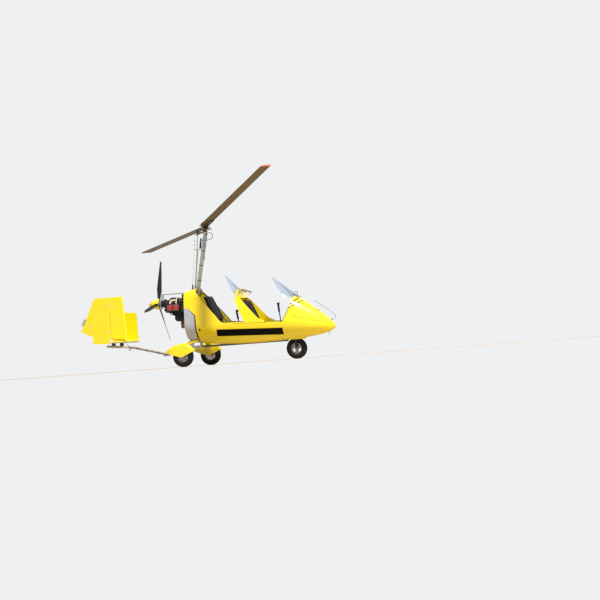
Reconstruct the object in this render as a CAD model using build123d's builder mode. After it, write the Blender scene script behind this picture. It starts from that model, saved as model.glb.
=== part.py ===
"""A two-seat open-cockpit gyrocopter, parked on its wheels.

Millimetres. +X points forward, +Y to port, +Z up. The origin is on the floor under the middle of the aircraft.
"""
from build123d import *
import os
from math import atan2, cos, degrees, pi, radians, sin

os.makedirs("parts", exist_ok=True)

# Clearances
SEAT_GAP = 0.3          # between pieces that rest on each other
PIN_GAP = 0.3           # round a pin in its bearing
PANEL_GAP = 0.8         # seam between two body panels

# Body shell
WALL = 6.0
BODY_REAR = -340.0

# Wheels and landing gear
WHEEL_R = 200.0
RIM_R = 103.0
TRACK_HALF = 845.0
MAIN_X = -225.0
NOSE_X = 1758.0
NOSE_TRAIL = 20.0
WELL_R = 165.0
WELL_TOP = 475.0

# Frame
KEEL_W = 50.0
KEEL_TOP = 384.0
KEEL_BOTTOM = 346.0
MAST_FOOT = (-317.0, 478.0)
MAST_LEAN = 238.0 / 1115.0      # forward run for each unit of height
MAST_LONG = 70.0
MAST_WIDE = 50.0
MAST_TOP = 2440.0

# Rotor head
HEAD_X = 114.0
PIVOT_Z = 2480.0
TEETER_Z = 2685.0
UNDERSLING = 65.0
ROTOR_AZIMUTH = -54.8
TEETER_REST = 8.35
PRECONE = 4.15
ROTOR_R = 4200.0
BLADE_ROOT = 110.0

# Propeller
PROP_X = -921.0
PROP_Z = 1228.0
PROP_R = 870.0
PROP_ANGLES = (21.4, 141.4, 261.4)

# Tail
HINGE_X = -1942.0
TAIL_HALF = 860.0
STAB_Z = 568.0


def save(piece, name):
    """Label a finished piece and write it to its own file."""
    piece.label = name
    export_step(piece, f"parts/{name}.step")


def mast_x(z):
    """X of the mast's centre line at a height."""
    return MAST_FOOT[0] + (z - MAST_FOOT[1]) * MAST_LEAN


# Body sections. Columns: x, belly z, top z, floor half, side half, side z, shoulder half, low r, side r, top r
HULL = (
    (2545.0, 542.0, 598.0, 18.0, 34.0, 568.0, 26.0, 12.0, 20.0, 20.0),
    (2460.0, 485.0, 697.0, 70.0, 122.0, 578.0, 92.0, 60.0, 80.0, 78.0),
    (2300.0, 441.0, 838.0, 115.0, 204.0, 592.0, 158.0, 110.0, 150.0, 138.0),
    (2080.0, 408.0, 1012.0, 150.0, 274.0, 612.0, 222.0, 150.0, 220.0, 198.0),
    (1800.0, 385.0, 1205.0, 175.0, 332.0, 635.0, 284.0, 180.0, 300.0, 262.0),
    (1450.0, 367.0, 1290.0, 190.0, 366.0, 645.0, 310.0, 200.0, 340.0, 280.0),
    (900.0, 360.0, 1320.0, 195.0, 374.0, 650.0, 310.0, 200.0, 360.0, 280.0),
    (300.0, 385.0, 1420.0, 190.0, 362.0, 670.0, 285.0, 190.0, 340.0, 250.0),
    (-60.0, 430.0, 1474.0, 170.0, 335.0, 700.0, 250.0, 170.0, 300.0, 190.0),
    (-341.0, 492.0, 1436.0, 150.0, 300.0, 740.0, 215.0, 150.0, 280.0, 160.0),
)


def refined(rows):
    """Rows with one more between each two, on a smooth curve through the given ones."""
    slopes = []
    for at in range(len(rows)):
        low = rows[max(at - 1, 0)]
        high = rows[min(at + 1, len(rows) - 1)]
        slopes.append([(b - a) / (high[0] - low[0]) for a, b in zip(low, high)])
    out = []
    for at in range(len(rows) - 1):
        here, there = rows[at], rows[at + 1]
        span = there[0] - here[0]
        middle = [
            (a + b) / 2 + span * (slope_a - slope_b) / 8
            for a, b, slope_a, slope_b in zip(here, there, slopes[at], slopes[at + 1])
        ]
        out += [here, tuple(middle)]
    return out + [rows[-1]]


HULL_ROWS = refined(HULL)
CORNER_CHORDS = 5


def rounded(corners, inset, chords):
    """Corner points of a half outline with each corner rounded in short chords. Corners: across, z, r."""
    points = []
    for at in range(1, len(corners) - 1):
        corner = Vector(corners[at][0], corners[at][1])
        back = (Vector(corners[at - 1][0], corners[at - 1][1]) - corner).normalized()
        ahead = (Vector(corners[at + 1][0], corners[at + 1][1]) - corner).normalized()
        half = radians(back.get_angle(ahead)) / 2
        centre = corner + (back + ahead).normalized() * (corners[at][2] / sin(half))
        facing = (back + ahead).normalized() * -1
        middle = atan2(facing.Y, facing.X)
        sweep_half = pi / 2 - half
        turn = 1 if back.X * ahead.Y - back.Y * ahead.X < 0 else -1
        for step in range(chords + 1):
            angle = middle + turn * sweep_half * (2 * step / chords - 1)
            reach = corners[at][2] - inset
            points.append((centre.X + reach * cos(angle), centre.Y + reach * sin(angle)))
    return points


def ribbed(stations, half_outline):
    """Ruled loft through outlines that are the same on both sides of a middle plane."""
    with BuildPart() as body:
        for x, middle_y in stations:
            side = half_outline(x)
            ring = [(middle_y + across, z) for across, z in side]
            ring += [(middle_y - across, z) for across, z in side[::-1]]
            with BuildSketch(Plane.YZ.offset(x)):
                with BuildLine():
                    Polyline(*ring, close=True)
                make_face()
        loft(ruled=True)
    return body.part


def hull_solid(rows, inset):
    """Closed loft of the body through its sections, each drawn in by an inset."""
    outlines = {}
    for x, belly, top, floor, side, side_z, shoulder, low_r, side_r, top_r in rows:
        corners = ((0, belly, 0), (floor, belly, low_r), (side, side_z, side_r), (shoulder, top, top_r), (0, top, 0))
        outlines[x] = rounded(corners, inset, CORNER_CHORDS)
    return ribbed([(x, 0) for x in outlines], outlines.get)


def side_prism(points, half):
    """Outline in the side view, run right across the body."""
    with BuildPart() as prism:
        with BuildSketch(Plane.XZ):
            with BuildLine():
                Polyline(*points, close=True)
            make_face()
        extrude(amount=half, both=True)
    return prism.part


hull_outer = hull_solid(HULL_ROWS, 0.0)
hull_inner = hull_solid(HULL_ROWS[2:], WALL)
hull_seat = hull_solid(HULL_ROWS[2:], WALL + SEAT_GAP)
hull_over = hull_solid(HULL_ROWS, -SEAT_GAP)

# Openings of the body in the side view
COCKPIT_CUT = (
    (-92.0, 1700.0), (-92.0, 1404.0), (416.0, 793.0), (1614.0, 724.0),
    (1745.0, 977.0), (1835.0, 1245.0), (1835.0, 1700.0),
)
REAR_CUT = (
    (-360.0, 1104.0), (-258.0, 1104.0), (-112.0, 958.0), (-100.0, 760.0),
    (-88.0, 500.0), (-30.0, 436.0), (30.0, 410.0), (30.0, 300.0), (-360.0, 300.0),
)
SIDE_PANEL = (
    (BODY_REAR, 1103.2), (-258.4, 1103.2), (-134.0, 950.0), (-130.0, 620.0),
    (-120.0, 522.0), (-326.0, 522.0), (BODY_REAR, 700.0),
)
NOSE_SEAM = ((1500.0, 905.0), (2170.0, 704.0), (2400.0, 669.0), (2700.0, 640.0), (2700.0, 1700.0), (1500.0, 1700.0))
COWL_SEAM = ((1500.0, 805.0), (2100.0, 1213.0), (2100.0, 1700.0), (1500.0, 1700.0))

with BuildPart() as hull_shell:
    add(hull_outer)
    add(hull_inner, mode=Mode.SUBTRACT)

cockpit_cut = side_prism(COCKPIT_CUT, 600.0)
nose_zone = side_prism(NOSE_SEAM, 600.0)
cowl_zone = side_prism(COWL_SEAM, 600.0)

# Tub: floor, sides, nose tip and engine hump in one moulding, with the nose wheel's well
SLEEVE_R = 24.0
STEM_R = 16.0
STEER_X = NOSE_X + NOSE_TRAIL
SLEEVE_TOP = 600.0
ROD_HOLE_X = -194.0
ROD_HALF_Y = 80.0

with BuildPart() as fuselage_tub:
    add(hull_shell.part)
    add(cockpit_cut, mode=Mode.SUBTRACT)
    add(side_prism(REAR_CUT, 600.0), mode=Mode.SUBTRACT)
    add(nose_zone, mode=Mode.SUBTRACT)
    with BuildSketch(Plane.XY.offset(KEEL_BOTTOM)):
        with Locations((STEER_X, 0)):
            Circle(WELL_R + WALL)
    extrude(amount=WELL_TOP + WALL - KEEL_BOTTOM)
    with BuildSketch(Plane.XY.offset(WELL_TOP)):
        with Locations((STEER_X, 0)):
            Circle(SLEEVE_R)
    extrude(amount=SLEEVE_TOP - WELL_TOP)
    with BuildSketch(Plane.XY.offset(KEEL_BOTTOM - 60)):
        with Locations((STEER_X, 0)):
            Circle(WELL_R)
    extrude(amount=WELL_TOP - KEEL_BOTTOM + 60, mode=Mode.SUBTRACT)
    with BuildSketch(Plane.XY.offset(WELL_TOP - 10)):
        with Locations((STEER_X, 0)):
            Circle(STEM_R + PIN_GAP)
    extrude(amount=SLEEVE_TOP, mode=Mode.SUBTRACT)
    with BuildSketch(Plane.XY.offset(250)):
        with Locations((735, 0)):
            Rectangle(1760, KEEL_W + 2 * SEAT_GAP)
    extrude(amount=KEEL_TOP + SEAT_GAP - 250, mode=Mode.SUBTRACT)
    with BuildSketch(Plane.XY.offset(1300)):
        with Locations((mast_x(1440), 0)):
            Rectangle(MAST_LONG + 90, MAST_WIDE + 10)
        with Locations((ROD_HOLE_X, ROD_HALF_Y), (ROD_HOLE_X, -ROD_HALF_Y)):
            Circle(20)
    extrude(amount=300, mode=Mode.SUBTRACT)
    # the well's wall stops at the belly
    with BuildSketch(Plane.XY.offset(KEEL_BOTTOM - 1)):
        with Locations((STEER_X, 0)):
            Circle(WELL_R + WALL)
            Circle(WELL_R, mode=Mode.SUBTRACT)
    extrude(amount=24, mode=Mode.SUBTRACT)
save(fuselage_tub.part, "fuselage_tub")

with BuildPart() as nose_cowl:
    add(hull_shell.part)
    add(nose_zone, mode=Mode.INTERSECT)
    add(cockpit_cut, mode=Mode.SUBTRACT)
    add(cowl_zone, mode=Mode.SUBTRACT)
# lifted by the seam's width, and cut back again where it meets the instrument cowl
with BuildPart() as nose_cowl_lifted:
    add(nose_cowl.part.moved(Location((0, 0, PANEL_GAP))))
    add(cowl_zone, mode=Mode.SUBTRACT)
save(nose_cowl_lifted.part, "nose_cowl")

with BuildPart() as instrument_cowl:
    add(hull_shell.part)
    add(cowl_zone, mode=Mode.INTERSECT)
    add(cockpit_cut, mode=Mode.SUBTRACT)
COWL_SHIFT = Location((-0.5, 0, PANEL_GAP + 0.4))
save(instrument_cowl.part.moved(COWL_SHIFT), "instrument_cowl")

# Silver side panels beside the engine bay, one each side
with BuildPart() as side_panels:
    add(hull_shell.part)
    add(side_prism(SIDE_PANEL, 600.0), mode=Mode.INTERSECT)
    with BuildSketch(Plane.XY.offset(300)):
        Rectangle(1200, 250)
    extrude(amount=1300, mode=Mode.SUBTRACT)
save(side_panels.part, "side_panels")

# Closing walls
FIREWALL_T = 5.0
with BuildPart() as firewall:
    with BuildSketch(Plane.YZ.offset(BODY_REAR + 8)):
        with Locations((0, 1000)):
            Rectangle(900, 2000)
    extrude(amount=FIREWALL_T)
    add(hull_seat, mode=Mode.INTERSECT)
    with BuildSketch(Plane.YZ.offset(BODY_REAR)):
        with Locations((0, 400)):
            Rectangle(900, 2 * (548 - 400))
        with Locations((0, 550)):
            Rectangle(MAST_WIDE + 1, 110)
    extrude(amount=40, mode=Mode.SUBTRACT)
save(firewall.part, "firewall")

BULKHEAD_X = -84.0
with BuildPart() as rear_bulkhead:
    with BuildSketch(Plane.YZ.offset(BULKHEAD_X)):
        Rectangle(900, 2000)
    extrude(amount=FIREWALL_T)
    add(hull_seat, mode=Mode.INTERSECT)
    with BuildSketch(Plane.YZ.offset(BULKHEAD_X - 1)):
        with Locations((0, 250)):
            Rectangle(900, 2 * (510 - 250))
        with Locations((0, 1200)):
            Rectangle(900, 2 * (1200 - 790))
    extrude(amount=FIREWALL_T + 2, mode=Mode.SUBTRACT)
save(rear_bulkhead.part, "rear_bulkhead")

# Fairing behind the front seat, flush with the body's sides and open to the front
FAIRING = ((684.0, 1200.0), (754.0, 1239.0), (812.0, 1197.0), (1130.0, 829.0), (1260.0, 768.0), (1260.0, 745.0),
           (862.0, 768.0))
FAIRING_CAVITY = ((696.0, 1192.0), (752.0, 1229.0), (900.0, 1229.0), (1400.0, 829.0), (1400.0, 700.0),
                  (884.0, 740.0))
with BuildPart() as fairing_room:
    add(hull_inner)
    add(side_prism(FAIRING_CAVITY, 600.0), mode=Mode.INTERSECT)
with BuildPart() as seat_back_fairing:
    add(hull_outer)
    add(side_prism(FAIRING, 600.0), mode=Mode.INTERSECT)
    add(fairing_room.part, mode=Mode.SUBTRACT)
save(seat_back_fairing.part, "seat_back_fairing")

# Hooded fairing behind the pilot's head, under the rear windshield
HOOD = ((664.0, 1262.0), (690.0, 1372.0), (733.0, 1400.0), (905.0, 1324.0), (815.0, 1262.0), (758.0, 1242.0),
        (684.0, 1203.0))
# Openings through the hood's cheeks, under its rim
HOOD_WINDOW = ((716.0, 1256.0), (716.0, 1366.0), (736.0, 1377.0), (868.0, 1319.0), (806.0, 1277.0), (758.0, 1259.0))
HOOD_HALF = 172.0


def arch(half, top, round_r, x_from, x_to, base):
    """Round-topped block, seen from the front, run along the aircraft."""
    with BuildPart() as block:
        with BuildSketch(Plane.YZ.offset(x_from)):
            with Locations((0, (top + base) / 2)):
                Rectangle(2 * half, top - base)
            fillet(vertices().group_by(Axis.Y)[-1], round_r)
        extrude(amount=x_to - x_from)
    return block.part


hood_outline = side_prism(HOOD, 300.0)
with BuildPart() as hood_room:
    with BuildSketch(Plane.XZ):
        with BuildLine():
            Polyline(*HOOD, close=True)
        make_face()
        offset(amount=SEAT_GAP, kind=Kind.INTERSECTION, mode=Mode.REPLACE)
    extrude(amount=300, both=True)
fairing_top = side_prism(((600.0, 1154.0), (684.0, 1200.6), (754.0, 1240.0), (812.0, 1198.0), (900.0, 1100.0)), 600.0)
with BuildPart() as headrest_fairing:
    add(arch(HOOD_HALF, 1401.0, 120.0, 500.0, 1000.0, 1100.0))
    add(hood_outline, mode=Mode.INTERSECT)
    add(arch(HOOD_HALF - WALL, 1401.0 - WALL, 114.0, 710.0, 1000.0, 1100.0), mode=Mode.SUBTRACT)
    add(side_prism(HOOD_WINDOW, 300.0), mode=Mode.SUBTRACT)
    add(fairing_top, mode=Mode.SUBTRACT)
save(headrest_fairing.part, "headrest_fairing")


# Windshields: sheets bent round the line of their top edge. Columns: base front, top, base rear, radius
SHIELD_T = 4.0
SHIELDS = {
    "front_windshield": ((1829.0, 1209.0), (1377.0, 1572.0), (1727.0, 1066.0), 286.0, (20.0, -28.0)),
    "rear_windshield": ((702.0, 1409.0), (440.0, 1691.0), (668.0, 1268.0), 190.0, (0.0, 0.0)),
}
for name, (base_front, top, base_rear, bend_r, foot) in SHIELDS.items():
    run_x = top[0] - base_front[0]
    run_z = top[1] - base_front[1]
    length = (run_x**2 + run_z**2) ** 0.5
    along = Vector(run_x / length, 0, run_z / length)
    start = Vector(base_front[0], 0, base_front[1]) - along * 300
    bend_plane = Plane(origin=start, x_dir=(0, 1, 0), z_dir=along)
    down = bend_plane.y_dir.Z < 0
    middle = bend_r if down else -bend_r
    with BuildPart() as windshield:
        with BuildSketch(bend_plane):
            with Locations((0, middle)):
                Circle(bend_r)
                Circle(bend_r - SHIELD_T, mode=Mode.SUBTRACT)
        extrude(amount=length + 600)
        beyond = (top[0] + 40, top[1] + 60)
        low_front = (base_front[0] + foot[0], base_front[1] + foot[1])
        low_rear = (base_rear[0] + foot[0], base_rear[1] + foot[1])
        outline = (low_front, (low_front[0] + 30, low_front[1] + 60), beyond, top, low_rear)
        add(side_prism(outline, 600.0), mode=Mode.INTERSECT)
        add(hood_room.part if name == "rear_windshield" else hull_over.moved(COWL_SHIFT), mode=Mode.SUBTRACT)
    save(windshield.part, name)

# Seats: a moulded shell with its front lip on the floor, and two plain cushions on it
SEAT_W = 430.0
SEAT_T = 8.0
LIP_Z = KEEL_TOP + SEAT_GAP + SEAT_T / 2
SEATS = {
    # name: floor lip, front of pan, rear of pan, top of back
    "front": ((1440.0, LIP_Z), (1430.0, 560.0), (1085.0, 520.0), (800.0, 1165.0)),
    "rear": ((650.0, LIP_Z), (640.0, 735.0), (330.0, 695.0), (38.0, 1300.0)),
}
with BuildPart() as seat_shells:
    for lip, pan_front, pan_rear, back_top in SEATS.values():
        with BuildSketch(Plane.XZ):
            with BuildLine():
                FilletPolyline(lip, pan_front, pan_rear, back_top, radius=60)
                offset(amount=SEAT_T / 2, side=Side.BOTH)
            make_face()
        extrude(amount=SEAT_W / 2, both=True)
    add(hull_seat, mode=Mode.INTERSECT)
save(seat_shells.part, "seat_shells")

CUSHION_T = 62.0
for name, (lip, pan_front, pan_rear, back_top) in SEATS.items():
    pan_len = pan_front[0] - pan_rear[0]
    pan_tilt = degrees(atan2(pan_front[1] - pan_rear[1], pan_len))
    back_run = back_top[0] - pan_rear[0]
    back_rise = back_top[1] - pan_rear[1]
    back_len = (back_run**2 + back_rise**2) ** 0.5
    lift = SEAT_T / 2 + SEAT_GAP
    pan_axis = Vector(cos(radians(pan_tilt)), 0, sin(radians(pan_tilt)))
    pan_plane = Plane(origin=Vector(pan_rear[0], 0, pan_rear[1]), x_dir=pan_axis, z_dir=(0, -1, 0))
    back_axis = Vector(back_run / back_len, 0, back_rise / back_len)
    back_plane = Plane(origin=Vector(pan_rear[0], 0, pan_rear[1]), x_dir=back_axis, z_dir=(0, 1, 0))
    with BuildPart() as cushions:
        with BuildSketch(pan_plane):
            with Locations((pan_len * 0.60, lift + CUSHION_T / 2)):
                RectangleRounded(pan_len * 0.72, CUSHION_T, 22)
        extrude(amount=SEAT_W / 2 - 12, both=True)
        with BuildSketch(back_plane):
            with Locations((back_len * 0.60, lift + CUSHION_T / 2)):
                RectangleRounded(back_len * 0.74, CUSHION_T, 22)
        extrude(amount=SEAT_W / 2 - 12, both=True)
    save(cushions.part, f"{name}_cushions")

# Instrument panel across the cowl
with BuildPart() as instrument_panel:
    with BuildSketch(Plane.YZ.offset(1846)):
        with Locations((0, 1050)):
            Rectangle(640, 300)
    extrude(amount=6)
    add(hull_seat, mode=Mode.INTERSECT)
save(instrument_panel.part.moved(Location((0, 0, PANEL_GAP))), "instrument_panel")

# Control sticks on the keel tube. Columns: foot x, grip x, grip top z
STICKS = ((1500.0, 1462.0, 1085.0), (700.0, 640.0, 1010.0))
with BuildPart() as control_sticks:
    for foot_x, grip_x, grip_top in STICKS:
        foot_z = KEEL_TOP + SEAT_GAP
        knee_z = grip_top - 170.0
        with BuildSketch(Plane.XY.offset(foot_z)):
            with Locations((foot_x, 0)):
                RectangleRounded(70, 60, 14)
        extrude(amount=26)
        with BuildLine():
            Polyline((foot_x, 0, foot_z + 10), (foot_x, 0, foot_z + 120), (grip_x, 0, knee_z))
        with BuildSketch(Plane.XY.offset(foot_z + 10)):
            with Locations((foot_x, 0)):
                Circle(10)
        sweep(transition=Transition.ROUND)
        with BuildSketch(Plane(origin=(grip_x, 0, knee_z - 6), z_dir=(grip_x - foot_x, 0, knee_z - foot_z))):
            Circle(19)
        extrude(amount=150)
        with BuildSketch(Plane.XY.offset(grip_top - 40)):
            with Locations((grip_x - 8, 0)):
                RectangleRounded(52, 44, 16)
        extrude(amount=40)
save(control_sticks.part, "control_sticks")

# Frame: keel tube under the body, block that carries mast, boom and gear bow, and the tail boom
KEEL_FRONT = 1595.0
BLOCK_FRONT = -98.0
BLOCK_REAR = -365.0
BLOCK_TOP = 477.0
BOW_Z = 477.3
with BuildPart() as keel_tube:
    with BuildSketch(Plane.YZ.offset(BLOCK_FRONT + SEAT_GAP)):
        with Locations((0, (KEEL_TOP + KEEL_BOTTOM) / 2)):
            Rectangle(KEEL_W, KEEL_TOP - KEEL_BOTTOM)
            Rectangle(KEEL_W - 6, KEEL_TOP - KEEL_BOTTOM - 6, mode=Mode.SUBTRACT)
    extrude(amount=KEEL_FRONT - BLOCK_FRONT - SEAT_GAP)
save(keel_tube.part, "keel_tube")

with BuildPart() as frame_block:
    with BuildSketch(Plane.XZ):
        with BuildLine():
            Polyline(
                (BLOCK_FRONT, KEEL_BOTTOM), (BLOCK_FRONT, BLOCK_TOP), (BLOCK_REAR, BLOCK_TOP),
                (BLOCK_REAR, 392), (BLOCK_REAR + 60, KEEL_BOTTOM), close=True,
            )
        make_face()
    extrude(amount=44, both=True)
    with BuildSketch(Plane.XZ):
        with Locations((-210, 418)):
            SlotOverall(150, 56)
    extrude(amount=60, both=True, mode=Mode.SUBTRACT)
save(frame_block.part, "frame_block")

BOOM = ((BLOCK_REAR - SEAT_GAP, 424.0), (-805.0, 262.0), (-1455.0, 436.0), (-2000.0, 497.0))
BOOM_H = 42.0
BOOM_W = 50.0
with BuildPart() as tail_boom:
    with BuildSketch(Plane.XZ):
        with BuildLine():
            FilletPolyline(*BOOM, radius=160)
            offset(amount=BOOM_H / 2, side=Side.BOTH)
        make_face()
    extrude(amount=BOOM_W / 2, both=True)
    with BuildSketch(Plane.XZ):
        with Locations((BLOCK_REAR + 100 - SEAT_GAP, 424)):
            Rectangle(200, 200)
    extrude(amount=100, both=True, mode=Mode.SUBTRACT)
    # wear pad under the lowest bend
    with BuildSketch(Plane.XZ):
        with Locations((-822, 243)):
            SlotOverall(150, 34)
    extrude(amount=18, both=True)
save(tail_boom.part, "tail_boom")

# Mast: one steel box section from the frame block up to the head plates
with BuildPart() as mast:
    with BuildSketch(Plane.XZ):
        with BuildLine():
            Polyline(
                (mast_x(BLOCK_TOP) - MAST_LONG / 2, BLOCK_TOP + SEAT_GAP),
                (mast_x(BLOCK_TOP) + MAST_LONG / 2, BLOCK_TOP + SEAT_GAP),
                (mast_x(MAST_TOP) + MAST_LONG / 2, MAST_TOP),
                (mast_x(MAST_TOP) - MAST_LONG / 2, MAST_TOP), close=True,
            )
        make_face()
    extrude(amount=MAST_WIDE / 2, both=True)
    fillet(edges().filter_by(Axis.Z, reverse=True).filter_by(
        lambda edge: abs((edge @ 1 - edge @ 0).Z) > 500), 8)
save(mast.part, "mast")

# Cheek plates that grip the mast's top and carry the pitch bolt
CHEEK_T = 8.0
CHEEK_IN = MAST_WIDE / 2 + SEAT_GAP
PIVOT_X = mast_x(PIVOT_Z)
PIN_R = 8.0
with BuildPart() as mast_head_plates:
    for side in (1, -1):
        with BuildSketch(Plane.XZ.offset(-side * CHEEK_IN)):
            with BuildLine():
                Polyline(
                    (mast_x(2235) - 31, 2235), (mast_x(2235) + 31, 2235), (mast_x(2400) + 39, 2400),
                    (PIVOT_X + 23, PIVOT_Z - 12), (PIVOT_X - 23, PIVOT_Z - 12), (mast_x(2400) - 36, 2400), close=True,
                )
            make_face()
            with Locations((PIVOT_X, PIVOT_Z)):
                Circle(23)
            with Locations((PIVOT_X, PIVOT_Z)):
                Circle(PIN_R + PIN_GAP, mode=Mode.SUBTRACT)
            for z in (2290, 2400):
                with Locations((mast_x(z), z)):
                    Circle(9, mode=Mode.SUBTRACT)
            with Locations((mast_x(2345), 2345)):
                SlotOverall(40, 16, mode=Mode.SUBTRACT)
        extrude(amount=-side * CHEEK_T)
save(mast_head_plates.part, "mast_head_plates")

# Gimbal block between the cheeks: pitch bolt across, roll bolt fore and aft
BLOCK_HALF = 22.0
EAR_IN = 23.5
EAR_T = 10.0
with BuildPart() as gimbal_block:
    with BuildSketch(Plane.XY.offset(PIVOT_Z - BLOCK_HALF)):
        with Locations((PIVOT_X, 0)):
            Rectangle(2 * BLOCK_HALF, MAST_WIDE - 1)
    extrude(amount=2 * BLOCK_HALF)
    with BuildSketch(Plane.XZ):
        with Locations((PIVOT_X, PIVOT_Z)):
            Circle(PIN_R)
    extrude(amount=CHEEK_IN + CHEEK_T + 1, both=True)
    with BuildSketch(Plane.XZ.offset(CHEEK_IN + CHEEK_T + 0.6), Plane.XZ.offset(-CHEEK_IN - CHEEK_T - 7.6)):
        with Locations((PIVOT_X, PIVOT_Z)):
            RegularPolygon(14, 6)
    extrude(amount=7)
    with BuildSketch(Plane.YZ.offset(PIVOT_X)):
        with Locations((0, PIVOT_Z)):
            Circle(PIN_R)
    extrude(amount=EAR_IN + EAR_T + 1, both=True)
    ear_out = EAR_IN + EAR_T
    with BuildSketch(Plane.YZ.offset(PIVOT_X + ear_out + 0.6), Plane.YZ.offset(PIVOT_X - ear_out - 7.6)):
        with Locations((0, PIVOT_Z)):
            RegularPolygon(14, 6)
    extrude(amount=7)
save(gimbal_block.part, "gimbal_block")

# Head bar: ears on the roll bolt, bearing housing for the rotor shaft, and the torque bar with its horns
PLATE_Z = 2518.0
HOUSING_TOP = 2560.0
SHAFT_R = 15.0
HORN_X = -66.0
HORN_Z = 2488.0
HORN_HALF = 62.0
with BuildPart() as head_bar:
    for start_x in (PIVOT_X + EAR_IN, PIVOT_X - EAR_IN - EAR_T):
        with BuildSketch(Plane.YZ.offset(start_x)):
            with Locations((0, (PIVOT_Z + PLATE_Z) / 2 + 4)):
                Rectangle(32, PLATE_Z - PIVOT_Z + 8)
            with Locations((0, PIVOT_Z)):
                Circle(16)
                Circle(PIN_R + PIN_GAP, mode=Mode.SUBTRACT)
        extrude(amount=EAR_T)
    with BuildSketch(Plane.XY.offset(PLATE_Z)):
        with Locations((PIVOT_X, 0)):
            RectangleRounded(92, 80, 14)
    extrude(amount=12)
    with BuildSketch(Plane.XY.offset(PLATE_Z)):
        with Locations((HEAD_X, 0)):
            Circle(42)
    extrude(amount=HOUSING_TOP - PLATE_Z)
    with BuildSketch(Plane.XZ):
        with BuildLine():
            Polyline(
                (PIVOT_X - 34, 2546), (PIVOT_X - 34, 2520), (HORN_X + 14, HORN_Z - 12), (HORN_X - 14, HORN_Z - 12),
                (HORN_X - 14, HORN_Z + 12), (HORN_X + 14, HORN_Z + 14), close=True,
            )
        make_face()
    extrude(amount=19, both=True)
    with BuildSketch(Plane.XZ):
        with Locations((HORN_X, HORN_Z)):
            Circle(13)
    extrude(amount=HORN_HALF, both=True)
    with BuildSketch(Plane.XZ):
        with Locations((HORN_X, HORN_Z)):
            Circle(6)
    extrude(amount=HORN_HALF + 10, both=True)
    with BuildSketch(Plane.XY.offset(PLATE_Z + 6)):
        with Locations((HEAD_X, 0)):
            Circle(SHAFT_R + PIN_GAP)
    extrude(amount=100, mode=Mode.SUBTRACT)
save(head_bar.part, "head_bar")

# Control rods from the body up to the horns, with the guide that steadies them on the mast
ROD_R = 7.0
ROD_EYE = (HORN_X, HORN_Z)
ROD_FOOT = (-206.0, 1380.0)
GUIDE_Z = 2209.0
rod_run = (ROD_EYE[0] - ROD_FOOT[0]) / (ROD_EYE[1] - ROD_FOOT[1])
guide_rod_x = ROD_FOOT[0] + (GUIDE_Z - ROD_FOOT[1]) * rod_run
with BuildPart() as control_rods:
    for side in (1, -1):
        foot = Vector(ROD_FOOT[0], side * ROD_HALF_Y, ROD_FOOT[1])
        eye = Vector(ROD_EYE[0], side * ROD_HALF_Y, ROD_EYE[1])
        with BuildSketch(Plane(origin=foot, z_dir=eye - foot)):
            Circle(ROD_R)
        extrude(amount=(eye - foot).length - 13)
        with BuildSketch(Plane.XZ.offset(-side * (ROD_HALF_Y - 5))):
            with Locations(ROD_EYE):
                Circle(15)
                Circle(6.5, mode=Mode.SUBTRACT)
        extrude(amount=-side * 10)
    with BuildSketch(Plane.XY.offset(GUIDE_Z - 9)):
        with Locations((guide_rod_x, 0)):
            Rectangle(22, 2 * ROD_HALF_Y + 26)
        rear_face = mast_x(GUIDE_Z - 9) - MAST_LONG / 2 - SEAT_GAP
        with Locations(((guide_rod_x + rear_face) / 2, 0)):
            Rectangle(rear_face - guide_rod_x, 40)
    extrude(amount=18)
save(control_rods.part, "control_rods")

# Rotor: shaft and teeter tower, gear ring, hub bar and blades
azimuth = radians(ROTOR_AZIMUTH)
blade_dir = Vector(cos(azimuth), sin(azimuth), 0)
chord_dir = Vector(-sin(azimuth), cos(azimuth), 0)
up = Vector(0, 0, 1)
TOWER_Z = 2584.0
FLANGE_TOP = 2597.8
RING_Z = 2566.0
RING_R = 132.0
RING_T = 16.0
TEETH = 48
EAR_GAP_HALF = 46.0
TOWER_EAR_T = 12.0
TEETER_PIN_R = 9.0
tower_plane = Plane(origin=(HEAD_X, 0, 0), x_dir=blade_dir, z_dir=(0, 0, 1))

with BuildPart() as rotor_tower:
    with BuildSketch(tower_plane.offset(PLATE_Z + 8)):
        Circle(SHAFT_R)
    extrude(amount=TOWER_Z - PLATE_Z - 8)
    with BuildSketch(tower_plane.offset(HOUSING_TOP + 1)):
        Circle(24)
    extrude(amount=TOWER_Z - HOUSING_TOP - 1)
    with BuildSketch(tower_plane.offset(TOWER_Z - 1)):
        Circle(62)
    extrude(amount=FLANGE_TOP - TOWER_Z + 1)
    for side in (1, -1):
        ear_plane = Plane(origin=Vector(HEAD_X, 0, 0) + chord_dir * (side * EAR_GAP_HALF), x_dir=blade_dir,
                          z_dir=chord_dir * side)
        sign = ear_plane.y_dir.Z
        with BuildSketch(ear_plane):
            with BuildLine():
                Polyline(
                    (-34, sign * (TOWER_Z)), (34, sign * (TOWER_Z)), (24, sign * TEETER_Z), (-24, sign * TEETER_Z),
                    close=True,
                )
            make_face()
            with Locations((0, sign * TEETER_Z)):
                Circle(24)
        extrude(amount=TOWER_EAR_T)
    pin_plane = Plane(origin=Vector(HEAD_X, 0, TEETER_Z), x_dir=blade_dir, z_dir=chord_dir)
    with BuildSketch(pin_plane):
        Circle(TEETER_PIN_R)
    extrude(amount=EAR_GAP_HALF + TOWER_EAR_T + 12, both=True)
save(rotor_tower.part, "rotor_tower")

with BuildPart() as gear_ring:
    with BuildSketch(tower_plane.offset(RING_Z)):
        Circle(RING_R - 5)
        with PolarLocations(RING_R - 5, TEETH):
            Rectangle(11, 7)
        Circle(24 + SEAT_GAP, mode=Mode.SUBTRACT)
        with PolarLocations(84, 6):
            Circle(20, mode=Mode.SUBTRACT)
    extrude(amount=RING_T)
save(gear_ring.part, "gear_ring")

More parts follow.
